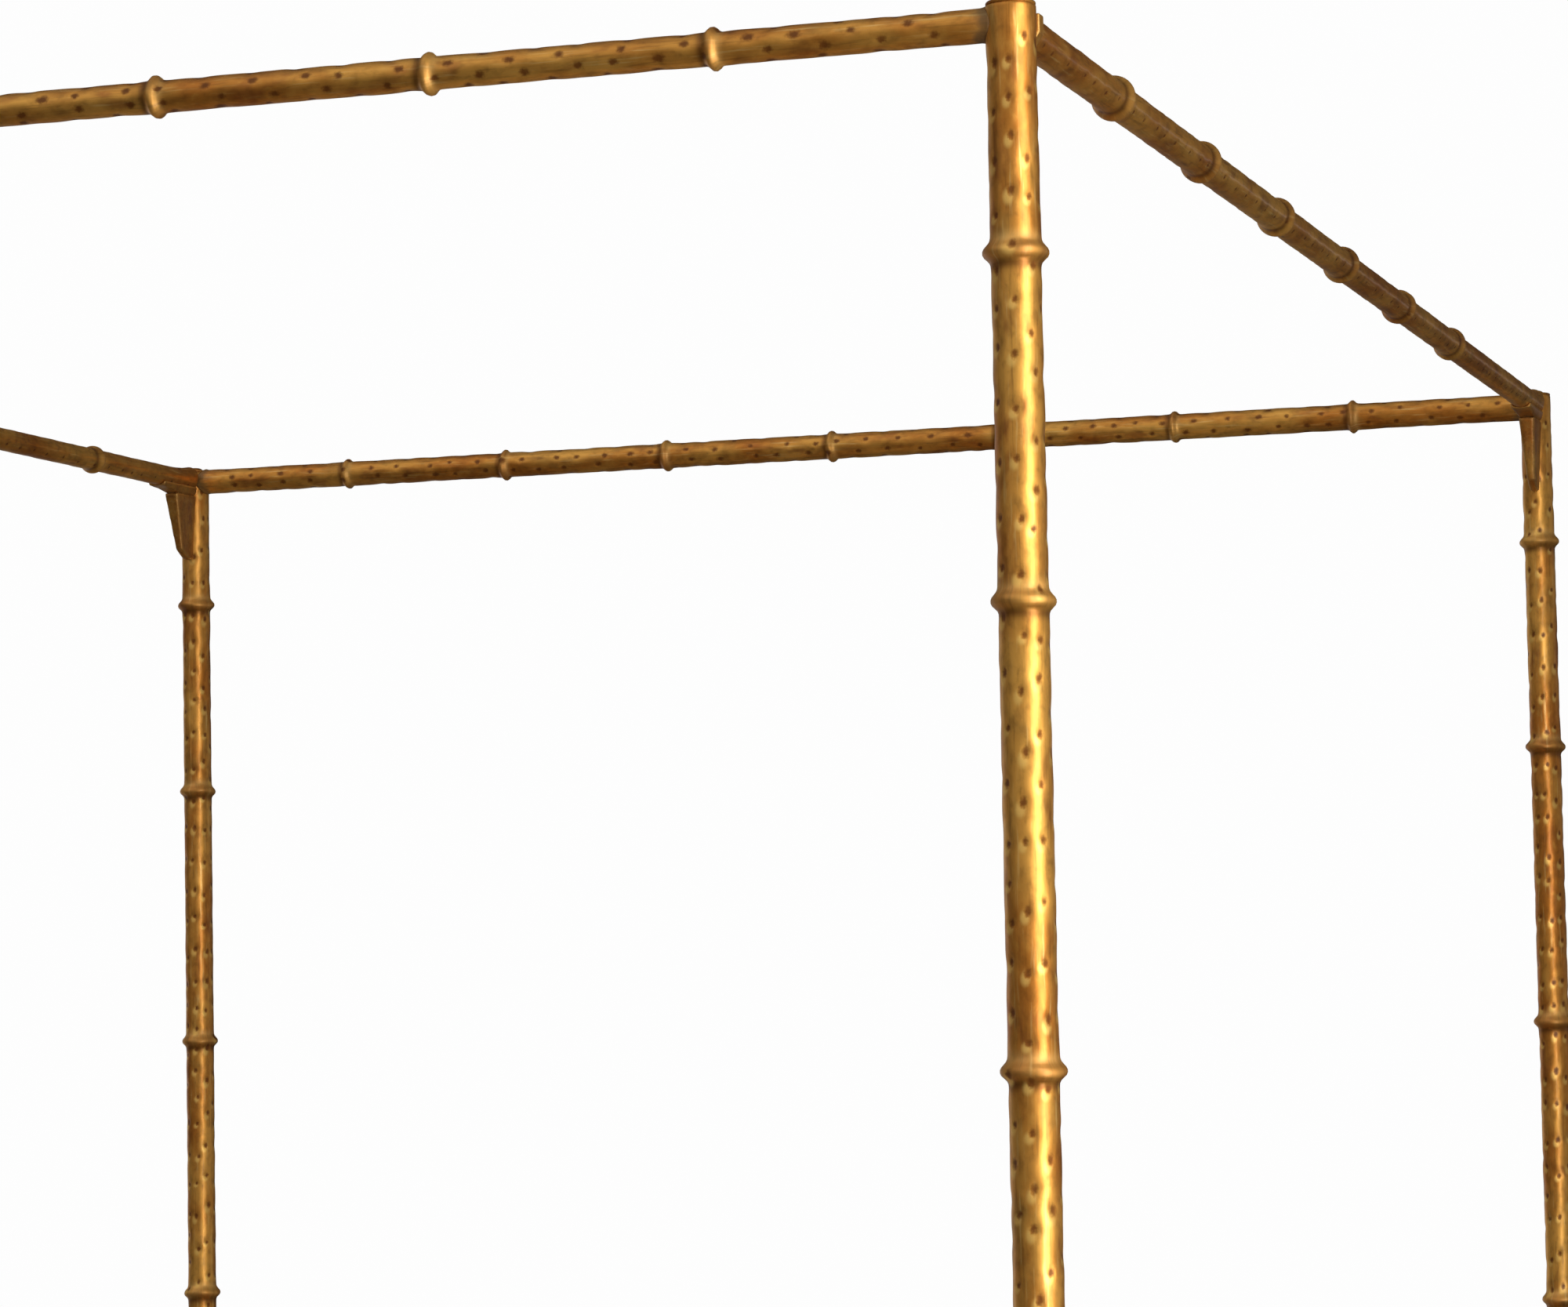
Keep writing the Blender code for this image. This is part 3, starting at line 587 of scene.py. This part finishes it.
def press_dimples(skin, pit, painted_glint_distance, along, angles, radius, spots):
    """Presses each dimple into the skin's radii. pit gets the distance, in core radii, to the
    nearest dimple; the next array gets it to the nearest painted highlight spot just below and
    beside one."""
    aside, below = PAINTED_GLINT_OFFSET
    for at, angle, size, stretch in spots:
        first, last = np.searchsorted(along, (at - DIMPLE_WINDOW, at + DIMPLE_WINDOW))
        across = (angles - angle + math.pi) % math.tau - math.pi
        u = (across * radius)[None, :] / (PIT_WIDTH * size)
        v = (along[first:last, None] - at) / (PIT_LENGTH * size * stretch)
        away = np.sqrt(u**2 + v**2)
        core = np.exp(-(away**2))
        dish = np.exp(-((away / DISH_REACH) ** 2))
        skin[first:last] -= (PIT_DEPTH * core + DISH_DEPTH * dish) * size * radius / POST_R
        pit[first:last] = np.minimum(pit[first:last], away)
        painted_glint_distance[first:last] = np.minimum(painted_glint_distance[first:last], np.hypot(u + aside, v + below))


def hammered(rng, along, angles, strength):
    """Low waves left by hand finishing, so that highlights wander along a tube."""
    wave = np.zeros((len(along), len(angles)))
    for length, turns, share in HAMMER_WAVES:
        phase, lean = rng.uniform(0, math.tau, 2)
        swing = rng.choice((-1, 1)) * turns
        wave += share * np.sin(
            math.tau * along[:, None] / length + swing * angles[None, :] + phase
        ) * (0.75 + 0.25 * np.sin(along[:, None] * 9.0 + lean))
    return wave * strength


def tube_axes(direction):
    """The directions in which a tube's angles of 0 and 90 degrees lie."""
    if abs(direction.z) > 0.5:
        return Vector((1, 0, 0)), Vector((0, 1, 0))
    side = direction.cross(Vector((0, 0, 1))).normalized()
    return side, side.cross(direction)


def raise_rings(rng, skin, along, angles, radius, nodes, node_len, rise, lean):
    """Swells the skin's radii into node rings. Returns how near each point is to a crest and to
    the necks above and below it."""
    marks = np.zeros((*skin.shape, 3))
    for place in nodes:
        sway = sum(
            rng.uniform(-RING_SWAY, RING_SWAY) * np.sin(k * angles + rng.uniform(0, math.tau))
            for k in (1, 2, 3, 5)
        )
        offset = (along[:, None] - place - sway[None, :]) / (node_len / 2)
        offset = np.where(offset > 0, offset / (1 + lean), offset / (1 - lean))
        for axis, (centre, width) in enumerate(RING_MARKS):
            marks[:, :, axis] += hump(offset, centre, width)
        swell = 1 + RING_UNEVEN * np.sin(2 * angles + rng.uniform(0, 6))
        skin += rise * RING_FILL * bead(offset) * swell
        skin += radius * RING_SHOULDER * hump(offset, 0.3, 1.5)
    return marks


def shape_ends(skin, along, length, angles, cope, weld, flare):
    """Fillets a tube's welded ends, flares its end, or rounds the rims of free ends."""
    to_end = length - along[:, None]
    from_end = np.minimum(along[:, None], to_end)
    if weld:
        skin += weld * np.clip(1 - from_end / WELD_LENGTH, 0, 1) ** 2
    if flare:
        upper = np.clip(np.sin(angles), 0, 1)[None, :]
        skin += flare * upper * np.clip(1 - to_end / FLARE_LENGTH, 0, 1) ** 2
    if not cope:
        edge = np.clip(1 - from_end / RIM_LENGTH, 0, 1)
        skin -= RIM_DROP * (1 - np.sqrt(1 - edge**2))


def coped(along, length, lateral, cope):
    """Distances along a tube of its skin, its ends shaped to round members of radius cope that
    stand square to lateral, each point's distance to the side."""
    from_end = np.minimum(along, length - along)[:, None]
    sag = cope - np.sqrt(np.maximum(cope**2 - np.minimum(np.abs(lateral), cope) ** 2, 0))
    sag *= np.exp(-((from_end / COPE_REACH) ** 2))
    return along[:, None] + np.where(along[:, None] < length / 2, -sag, sag)


def bamboo(node, body, start, end, radius, nodes, node_len, rise, sides, seed, cope=0.0,
           cope_vertical=True, weld=0.0, lean=0.0, pitch=PIT_PITCH, rows=RAIL_ROWS,
           pit_scale=1.0, painted_glints=False, flare=0.0):
    """A dimpled, hammered bamboo tube from start to end, in place of a CAD node. cope is the
    radius of the round members at its two ends, whose surfaces it is shaped to. A positive lean
    makes its rings gentle towards the end and steep towards the start. flare swells its upper
    half at the end. Its glint switch gives its dimples painted highlight spots beside them."""
    rng = np.random.default_rng(seed)
    start, end = Vector(start), Vector(end)
    length = (end - start).length
    direction = (end - start).normalized()
    side, up = tube_axes(direction)
    along = np.linspace(0.0, length, int(length / TUBE_STEP) + 1)
    angles = np.arange(sides) * math.tau / sides
    skin = np.full((len(along), sides), radius)
    skin += hammered(rng, along, angles, HAMMERED * radius / POST_R)
    ring = raise_rings(rng, skin, along, angles, radius, nodes, node_len, rise, lean)
    pit = np.full(skin.shape, FAR)
    painted_glint_distance = np.full(skin.shape, FAR)
    spots = dimple_spots(rng, length, rows, pitch, pit_scale)
    press_dimples(skin, pit, painted_glint_distance, along, angles, radius, spots)
    # only the posts get painted highlight spots beside their dimples
    if not painted_glints:
        painted_glint_distance[:] = FAR
    shape_ends(skin, along, length, angles, cope, weld, flare)

    across = skin * np.cos(angles)[None, :]
    lift = skin * np.sin(angles)[None, :]
    place_along = np.broadcast_to(along[:, None], skin.shape)
    hollow_darkening = np.zeros(skin.shape)
    if cope:
        place_along = coped(along, length, across if cope_vertical else lift, cope)
        # darker towards the coped ends, where the tube meets another member
        from_end = np.minimum(along, length - along)[:, None]
        hollow_darkening += np.exp(-((from_end / HOLLOW_DARK_REACH) ** 2))
    points = (
        np.array(start)
        + across[:, :, None] * np.array(side)
        + lift[:, :, None] * np.array(up)
        + place_along[:, :, None] * np.array(direction)
    )
    name = "bamboo_" + node
    mesh = grid_mesh(name, points, list(start), list(end))

    shift = rng.uniform(-5, 5, 3)
    local = np.stack([
        np.broadcast_to(radius * np.cos(angles), skin.shape),
        np.broadcast_to(radius * np.sin(angles), skin.shape),
        place_along,
    ], axis=-1) + shift
    tips = np.array([[0, 0, 0], [0, 0, length]]) + shift
    no_ring = np.zeros((2, 3))
    add_attribute(mesh, "tube", "FLOAT_VECTOR", np.concatenate([local.reshape(-1, 3), tips]))
    add_attribute(mesh, "ring", "FLOAT_VECTOR", np.concatenate([ring.reshape(-1, 3), no_ring]))
    for attribute, values in (("pit", pit), ("painted_glint_distance", painted_glint_distance), ("hollow_darkening", hollow_darkening)):
        add_attribute(mesh, attribute, "FLOAT", np.concatenate([values.ravel(), values[0, :2]]))
    return new_piece(name, mesh, GILT_TUBE, body, (node,))


def stacked_mesh(name, rows, low, high, matrix):
    """A closed skin over rings round Z, given as (radii, height), with a tip at low and high."""
    sides = len(rows[0][0])
    angles = np.arange(sides) * math.tau / sides
    points = np.array([
        [(r * math.cos(a), r * math.sin(a), height) for r, a in zip(radii, angles)]
        for radii, height in rows
    ])
    mesh = grid_mesh(name, points, (0, 0, low), (0, 0, high))
    mesh.transform(matrix)
    return mesh


def turned_mesh(name, profile, sides, matrix):
    """A (radius, height) profile turned about Z, then placed by a matrix."""
    rows = [(np.full(sides, r), height) for r, height in profile]
    return stacked_mesh(name, rows, profile[0][1], profile[-1][1], matrix)


def rounded(points, count=5):
    """A profile of (radius, height, fillet) with its inner corners rounded in count steps."""
    out = []
    for i, (r, z, fillet) in enumerate(points):
        if fillet <= 0 or i in (0, len(points) - 1):
            out.append((r, z))
            continue
        here = Vector((r, z))
        to_prev = Vector(points[i - 1][:2]) - here
        to_next = Vector(points[i + 1][:2]) - here
        reach = min(fillet, to_prev.length * 0.49, to_next.length * 0.49)
        first = here + to_prev.normalized() * reach
        last = here + to_next.normalized() * reach
        for k in range(count + 1):
            t = k / count
            spot = first * (1 - t) ** 2 + here * 2 * t * (1 - t) + last * t**2
            out.append((spot.x, spot.y))
    return out


def merged(meshes, name):
    """Several meshes as one."""
    shape = bmesh.new()
    for mesh in meshes:
        shape.from_mesh(mesh)
    whole = bpy.data.meshes.new(name)
    shape.to_mesh(whole)
    shape.free()
    return whole


def clean_copy(node, name):
    """A copy of a CAD node's mesh, welded and with its flat faces made whole."""
    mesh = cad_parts[node].data.copy()
    mesh.name = name
    shape = bmesh.new()
    shape.from_mesh(mesh)
    bmesh.ops.remove_doubles(shape, verts=shape.verts, dist=0.00001)
    bmesh.ops.dissolve_limit(
        shape, angle_limit=math.radians(1.0), verts=shape.verts, edges=shape.edges
    )
    shape.to_mesh(mesh)
    shape.free()
    return mesh


def baked(mesh, name, settings):
    """The mesh after modifiers given as (type, {setting: value})."""
    carrier = bpy.data.objects.new(name, mesh)
    bpy.context.scene.collection.objects.link(carrier)
    for kind, values in settings:
        modifier = carrier.modifiers.new(kind.lower(), kind)
        for key, value in values.items():
            setattr(modifier, key, value)
    bpy.context.view_layer.update()
    depsgraph = bpy.context.evaluated_depsgraph_get()
    result = bpy.data.meshes.new_from_object(carrier.evaluated_get(depsgraph))
    bpy.data.objects.remove(carrier, do_unlink=True)
    result.name = name
    return result


def disc_mesh(name, radius, low, high, edge, matrix, count=5):
    """A round bar or disc with its two rims rounded."""
    profile = rounded([
        (radius * FACE_START, low, 0), (radius, low, edge),
        (radius, high, edge), (radius * FACE_START, high, 0),
    ], count)
    return turned_mesh(name, profile, DISC_SIDES, matrix)


def bevelled(node, width, segments=3):
    """A CAD node's mesh with its sharp edges rounded."""
    return baked(clean_copy(node, node), node, [
        ("BEVEL", {"width": width, "segments": segments, "limit_method": "ANGLE",
                   "angle_limit": math.radians(30), "harden_normals": False}),
    ])


def mark_edges(mesh):
    """Worn outer edges (edge) and darkened hollows of a fine, even mesh, by curvature."""
    count = len(mesh.vertices)
    place = np.empty(count * 3, np.float32)
    normal = np.empty(count * 3, np.float32)
    ends = np.empty(len(mesh.edges) * 2, np.int32)
    mesh.vertices.foreach_get("co", place)
    mesh.vertices.foreach_get("normal", normal)
    mesh.edges.foreach_get("vertices", ends)
    place, normal, ends = place.reshape(-1, 3), normal.reshape(-1, 3), ends.reshape(-1, 2)
    first, second = ends[:, 0], ends[:, 1]
    span = place[second] - place[first]
    length = np.linalg.norm(span, axis=1) + 1e-9
    sink = np.zeros(count)
    share = np.bincount(ends.ravel(), minlength=count)
    np.add.at(sink, first, np.einsum("ij,ij->i", span, normal[first]) / length)
    np.add.at(sink, second, -np.einsum("ij,ij->i", span, normal[second]) / length)
    sink /= share
    for _ in range(4):
        spread = np.zeros(count)
        np.add.at(spread, first, sink[second])
        np.add.at(spread, second, sink[first])
        sink = 0.5 * sink + 0.5 * spread / share
    add_attribute(mesh, "edge", "FLOAT", np.clip(-sink / CURVE_FULL, 0, 1))
    add_attribute(mesh, "hollow_darkening", "FLOAT", np.clip(0.25 + sink / CURVE_FULL, 0, 1))


def cast_copy(node, name, voxel, passes):
    """A CAD casting with soft, slightly uneven cast edges and faces."""
    mesh = baked(clean_copy(node, name), name, [
        ("REMESH", {"mode": "VOXEL", "voxel_size": voxel}),
        ("SMOOTH", {"factor": 0.5, "iterations": passes}),
    ])
    mark_edges(mesh)
    return mesh


def middle(node):
    """The centre of a CAD node's box."""
    low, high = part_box(node)
    return (low + high) / 2


# ---- bamboo tubes --------------------------------------------------------------------
CANOPY_Z = middle("canopy_side_rail_right").z


def make_posts():
    """The four posts, their rings counted down from the canopy, each with its domed cap."""
    for number, corner in enumerate(CORNERS):
        node = "post_" + corner
        low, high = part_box(node)
        centre = middle(node)
        nodes = [CANOPY_Z - step * SEGMENT - low.z for step in POST_NODE_STEPS]
        bamboo(
            node, "bed_frame", (centre.x, centre.y, low.z), (centre.x, centre.y, high.z),
            POST_R, nodes, POST_NODE_LEN, POST_NODE_RISE, POST_SIDES, 100 + number,
            lean=POST_LEAN, rows=POST_ROWS, painted_glints=True,
        )
        cap = "post_cap_" + corner
        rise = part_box(cap)[1].z - high.z
        profile = rounded([
            (radius, high.z + above + share * rise, fillet)
            for radius, above, share, fillet in CAP_PROFILE
        ])
        mesh = turned_mesh("cap", profile, CAP_SIDES, Matrix.Translation((centre.x, centre.y, 0)))
        new_piece("domed_cap_" + corner, mesh, GILT_CAST, "bed_frame", (cap,))


def make_cross_rail(node, radius, parts, seed):
    """A rail between two posts, divided by its rings into equal parts."""
    centre = middle(node)
    right = middle("post_head_right").x
    reach = right - POST_R + JOINT_LAP
    nodes = [2 * right * (i / parts - 0.5) + reach for i in range(1, parts)]
    bamboo(
        node, "bed_frame", (-reach, centre.y, centre.z), (reach, centre.y, centre.z),
        radius, nodes, RAIL_NODE_LEN, RAIL_NODE_RISE, RAIL_SIDES, seed,
        cope=POST_R, weld=WELD, pit_scale=RAIL_PIT,
    )


def make_side_rail(side, seed):
    """A lift-off canopy rail; the right one runs plain into its hook."""
    node = "canopy_side_rail_" + side
    low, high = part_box(node)
    centre = middle(node)
    half = middle("post_head_right").y
    count = SIDE_RAIL_NODES[side]
    nodes = [2 * half * (i / CANOPY_PARTS - 0.5) - low.y for i in range(1, count + 1)]
    bamboo(
        node, "canopy_side_" + side, (centre.x, low.y, centre.z), (centre.x, high.y, centre.z),
        SIDE_RAIL_R, nodes, SIDE_NODE_LEN, RAIL_NODE_RISE, RAIL_SIDES, seed,
        lean=SIDE_LEAN, rows=SIDE_ROWS, pit_scale=SIDE_PIT, flare=SIDE_FLARE,
    )


def make_spindles(end, seed):
    """The four spindles of the headboard or the footboard."""
    low_rail = middle(end + "board_bottom_rail").z
    high_rail = middle(end + "board_top_rail").z
    foot = low_rail + BOARD_RAIL_R - JOINT_LAP
    head = high_rail - BOARD_RAIL_R + JOINT_LAP
    for number in range(1, 5):
        node = "%sboard_spindle_%d" % (end, number)
        centre = middle(node)
        bamboo(
            node, "bed_frame", (centre.x, centre.y, foot), (centre.x, centre.y, head),
            SPINDLE_R, [(head - foot) / 2], SPINDLE_NODE_LEN, SPINDLE_NODE_RISE,
            SPINDLE_SIDES, seed + number, cope=BOARD_RAIL_R, cope_vertical=False,
            weld=SPINDLE_WELD, rows=SPINDLE_ROWS, pitch=SPINDLE_PITCH,
        )


make_posts()
make_cross_rail("canopy_head_rail", HEAD_RAIL_R, CANOPY_PARTS, 201)
make_cross_rail("canopy_foot_rail", FOOT_RAIL_R, CANOPY_PARTS, 202)
for rail_number, rail_name in enumerate(("headboard_top_rail", "headboard_bottom_rail",
                                         "footboard_top_rail", "footboard_bottom_rail")):
    make_cross_rail(rail_name, BOARD_RAIL_R, BOARD_PARTS, 210 + rail_number)
make_side_rail("right", 221)
make_side_rail("left", 222)
make_spindles("head", 300)
make_spindles("foot", 310)


# ---- castings ------------------------------------------------------------------------
def make_castings(side):
    """The socket, hook and cradle of one side rail."""
    for kind, stem, voxel, passes in CASTINGS:
        node = stem + side
        body = "canopy_side_" + side if kind == "hook" else "bed_frame"
        mesh = cast_copy(node, kind, voxel, passes)
        new_piece("cast_%s_%s" % (kind, side), mesh, GILT_CAST, body, (node,))


for side_name in SIDES:
    make_castings(side_name)


# ---- mattress base -------------------------------------------------------------------
def dome_screw(x, y, z):
    """A countersunk wood screw's head, set a hair proud, with a cross recess."""
    angles = np.arange(DISC_SIDES) * math.tau / DISC_SIDES
    arm = np.maximum(np.abs(np.cos(angles)), np.abs(np.sin(angles)))
    cross = np.where(arm > 0.93, RECESS_WIDE, RECESS_NARROW) * SCREW_R
    rows = [(np.full(DISC_SIDES, SCREW_R * share), height) for share, height in SCREW_HEAD]
    rows += [(cross, RECESS_TOP), (cross * RECESS_TAPER, RECESS_WALL)]
    place = Matrix.Translation((x, y, z))
    return stacked_mesh("screw", rows, SCREW_HEAD[0][1], -RECESS_DEPTH, place)


def make_slats():
    """Seven slats, each screwed down at its ends and its middle."""
    screws = []
    rng = np.random.default_rng(41)
    for number in range(1, 8):
        node = "slat_%d" % number
        mesh = bevelled(node, SLAT_EDGE, 4)
        low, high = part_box(node)
        points = np.array([vertex.co for vertex in mesh.vertices])
        add_attribute(mesh, "board", "FLOAT_VECTOR", points + rng.uniform(-4, 4, 3))
        new_piece("planed_" + node, mesh, PINE, "bed_frame", (node,))
        y = (low.y + high.y) / 2
        for x in (low.x + SCREW_INSET, high.x - SCREW_INSET):
            for offset in (-SCREW_SPREAD, SCREW_SPREAD):
                screws.append(dome_screw(x, y + offset, high.z))
        screws.append(dome_screw(0.0, y, high.z))
    new_piece("slat_screws", merged(screws, "slat_screws"), ZINC, "bed_frame")


def steel_piece(style, node, mesh):
    """A black steel piece of the frame, named after how it is made."""
    new_piece(style + node, mesh, BLACK_STEEL, "bed_frame", (node,))


def make_centre_leg(number):
    """A leg under the centre rail, and its plastic glide."""
    node = "centre_leg_%d" % number
    glide = "centre_leg_glide_%d" % number
    low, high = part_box(node)
    centre = middle(node)
    place = Matrix.Translation((centre.x, centre.y, 0))
    radius = (high.x - low.x) / 2
    bar = disc_mesh(node, radius, low.z + LEG_GAP, high.z, LEG_EDGE, place)
    steel_piece("round_", node, bar)
    glide_low, glide_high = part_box(glide)
    radius = (glide_high.x - glide_low.x) / 2
    profile = rounded([
        (radius * share, low.z * part + above, fillet)
        for share, part, above, fillet in GLIDE_PROFILE
    ])
    new_piece("moulded_" + glide, turned_mesh(glide, profile, DISC_SIDES, place), PLASTIC,
              "bed_frame", (glide,))


def make_steel():
    """The mattress rails, brackets and centre support, and the paint of the foot inserts."""
    for side in SIDES:
        node = "mattress_rail_" + side
        steel_piece("rolled_", node, bevelled(node, ANGLE_EDGE))
    for corner in CORNERS:
        node = "rail_bracket_" + corner
        steel_piece("bent_", node, bevelled(node, BRACKET_EDGE))
    steel_piece("drawn_", "centre_rail", bevelled("centre_rail", BOX_EDGE, 4))
    for number in (1, 2):
        make_centre_leg(number)
    for corner in CORNERS:
        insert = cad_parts["foot_insert_" + corner]
        insert.data.materials.clear()
        insert.data.materials.append(BLACK_STEEL)


# ---- fasteners and feet --------------------------------------------------------------
def hexagon_mesh(name, across, low, high, chamfer, matrix):
    """A hexagon nut or bolt head, across its flats, with turned chamfers on its corners."""
    angles = np.arange(HEX_SIDES) * math.tau / HEX_SIDES
    fold = (angles + math.pi / 6) % (math.pi / 3) - math.pi / 6
    flat = across / 2 / np.cos(fold)
    corner = across / 2 / math.cos(math.pi / 6)
    face, rim = np.minimum(flat, corner * 0.80), np.minimum(flat, corner * 0.94)
    rows = [(face, low), (rim, low), (flat, low + chamfer),
            (flat, high - chamfer), (rim, high), (face, high)]
    return stacked_mesh(name, rows, low, high, matrix)


def make_bolts():
    """A bolt with its head, nut and two washers through each rail and bracket."""
    for corner in CORNERS:
        node = "rail_bolt_" + corner
        low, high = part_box(node)
        centre = middle(node)
        outward = 1 if centre.x > 0 else -1
        half = (high.x - low.x) / 2
        turn = Matrix.Rotation(outward * math.pi / 2, 4, "Y")
        place = Matrix.Translation(centre) @ turn
        shank = [(SHANK_R - 0.0002, -half), (SHANK_R, -half + 0.0004), (SHANK_R, half - 0.002)]
        parts = [
            hexagon_mesh("head", BOLT_FLATS, half - BOLT_HEAD, half, BOLT_CHAMFER, place),
            disc_mesh("washer", WASHER_R, half - WASHER_FACE, half - BOLT_HEAD + WASHER_LAP,
                      WASHER_EDGE, place, 3),
            hexagon_mesh("nut", BOLT_FLATS, -half, BOLT_NUT - half, BOLT_CHAMFER, place),
            disc_mesh("washer", WASHER_R, BOLT_NUT - WASHER_LAP - half, WASHER_FACE - half,
                      WASHER_EDGE, place, 3),
            turned_mesh("shank", shank, SHANK_SIDES, place),
        ]
        new_piece("hex_" + node, merged(parts, node), ZINC, "bed_frame", (node,))


def thread_mesh(radius, low, high, pitch, place):
    """A stud with a real helical thread."""
    along = np.linspace(low, high, int((high - low) / (pitch / 5)) + 1)
    turn = np.arange(STUD_SIDES) / STUD_SIDES
    phase = (along[:, None] / pitch - turn[None, :]) % 1.0
    reach = radius - THREAD_DEPTH * np.abs(2 * phase - 1) ** 0.8
    return stacked_mesh("stud", list(zip(reach, along)), low, high, place)


def make_feet():
    """Levelling feet: a plastic pad, a nut and a threaded stud."""
    for corner in CORNERS:
        node = "levelling_foot_" + corner
        body = "foot_" + corner
        low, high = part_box(node)
        centre = middle(node)
        place = Matrix.Translation((centre.x, centre.y, 0))
        radius = (high.x - low.x) / 2
        pad = rounded([(radius * share, z, fillet) for share, z, fillet in PAD_PROFILE], 6)
        new_piece("foot_pad_" + corner, turned_mesh("pad", pad, PAD_SIDES, place), PLASTIC, body,
                  (node,))
        metal = [
            hexagon_mesh("nut", FOOT_NUT_FLATS, *FOOT_NUT, FOOT_NUT_CHAMFER, place),
            thread_mesh(STUD_R, PAD_PROFILE[-1][1], high.z, THREAD_PITCH, place),
        ]
        new_piece("foot_stud_" + corner, merged(metal, "stud"), ZINC, body)


make_slats()
make_steel()
make_bolts()
make_feet()


# ---- room, light and camera ----------------------------------------------------------
def make_floor():
    """A pale disc that glows more with distance, so that it fades into the backdrop."""
    turns = [math.tau * i / FLOOR_SIDES for i in range(FLOOR_SIDES)]
    points = [(FLOOR_RADIUS * math.cos(a), FLOOR_RADIUS * math.sin(a), 0) for a in turns]
    mesh = bpy.data.meshes.new("floor")
    mesh.from_pydata(points, [], [list(range(FLOOR_SIDES))])
    floor = bpy.data.objects.new("floor", mesh)
    bpy.context.scene.collection.objects.link(floor)
    n = Surface("pale_floor")
    cloud = n.noise(n.coords(), 0.6, 2.0, 0.5)
    colour = n.mix(n.span(cloud, 0.3, 0.7), *FLOOR_TONES)
    away = n.vector_math("LENGTH", n.coords(), output="Value")
    n.link(BACKDROP, n.shader.inputs["Emission Color"])
    n.link(n.span(away, *FLOOR_FADE), n.shader.inputs["Emission Strength"])
    mesh.materials.append(n.finish(colour, 0.75))
    floor.visible_glossy = False
    return floor


def add_lamp(unlit, name, spot, aim, width, height, power, reflected):
    """A soft box. One that is seen in reflections leaves the floor unlit."""
    data = bpy.data.lights.new(name, "AREA")
    data.shape = "RECTANGLE"
    data.size, data.size_y = width, height
    data.energy = power
    lamp = bpy.data.objects.new(name, data)
    bpy.context.scene.collection.objects.link(lamp)
    lamp.location = spot
    lamp.rotation_euler = (Vector(aim) - Vector(spot)).to_track_quat("-Z", "Y").to_euler()
    lamp.visible_camera = False
    lamp.visible_glossy = reflected
    if reflected:
        lamp.light_linking.receiver_collection = unlit


def make_world():
    """White to the camera and even for soft light; reflections see a dim room with lobes."""
    world = bpy.data.worlds.new("studio")
    bpy.context.scene.world = world
    world.use_nodes = True
    world.cycles.sampling_method = "NONE"
    world.node_tree.nodes.clear()
    n = Nodes(world.node_tree)
    outward = n.coords("Generated")
    glow = ROOM_DIM
    for direction, strength, focus in ROOM_LOBES:
        aim = Vector(direction).normalized()
        facing = n.math("MAXIMUM", n.vector_math("DOT_PRODUCT", outward, aim, "Value"), 0.0)
        glow = n.math("MULTIPLY_ADD", n.math("POWER", facing, focus), strength, glow)
    ray = n.new("LightPath").outputs
    reflected = n.background(ROOM_GREY, glow)
    light = n.either(ray["Is Glossy Ray"], n.background(SOFT_LIGHT), reflected)
    seen = n.either(ray["Is Camera Ray"], light, n.background(BACKDROP))
    n.link(seen, n.new("OutputWorld").inputs["Surface"])


def make_camera():
    """The photograph's viewpoint."""
    data = bpy.data.cameras.new("camera")
    data.lens = CAMERA_LENS
    camera = bpy.data.objects.new("camera", data)
    bpy.context.scene.collection.objects.link(camera)
    turn = Matrix.Rotation(math.radians(CAMERA_TURN), 4, "Z")
    pitch = Matrix.Rotation(math.radians(CAMERA_PITCH), 4, "X")
    roll = Matrix.Rotation(math.radians(CAMERA_ROLL), 4, "Z")
    camera.matrix_world = Matrix.Translation(CAMERA_SPOT) @ turn @ pitch @ roll
    bpy.context.scene.camera = camera


unlit_by_near_lamps = bpy.data.collections.new("unlit_by_near_lamps")
unlit_by_near_lamps.objects.link(make_floor())
unlit_by_near_lamps.collection_objects[0].light_linking.link_state = "EXCLUDE"
make_world()
make_camera()
for lamp_settings in LAMPS:
    add_lamp(unlit_by_near_lamps, *lamp_settings)
bpy.context.scene.view_settings.view_transform = "Standard"
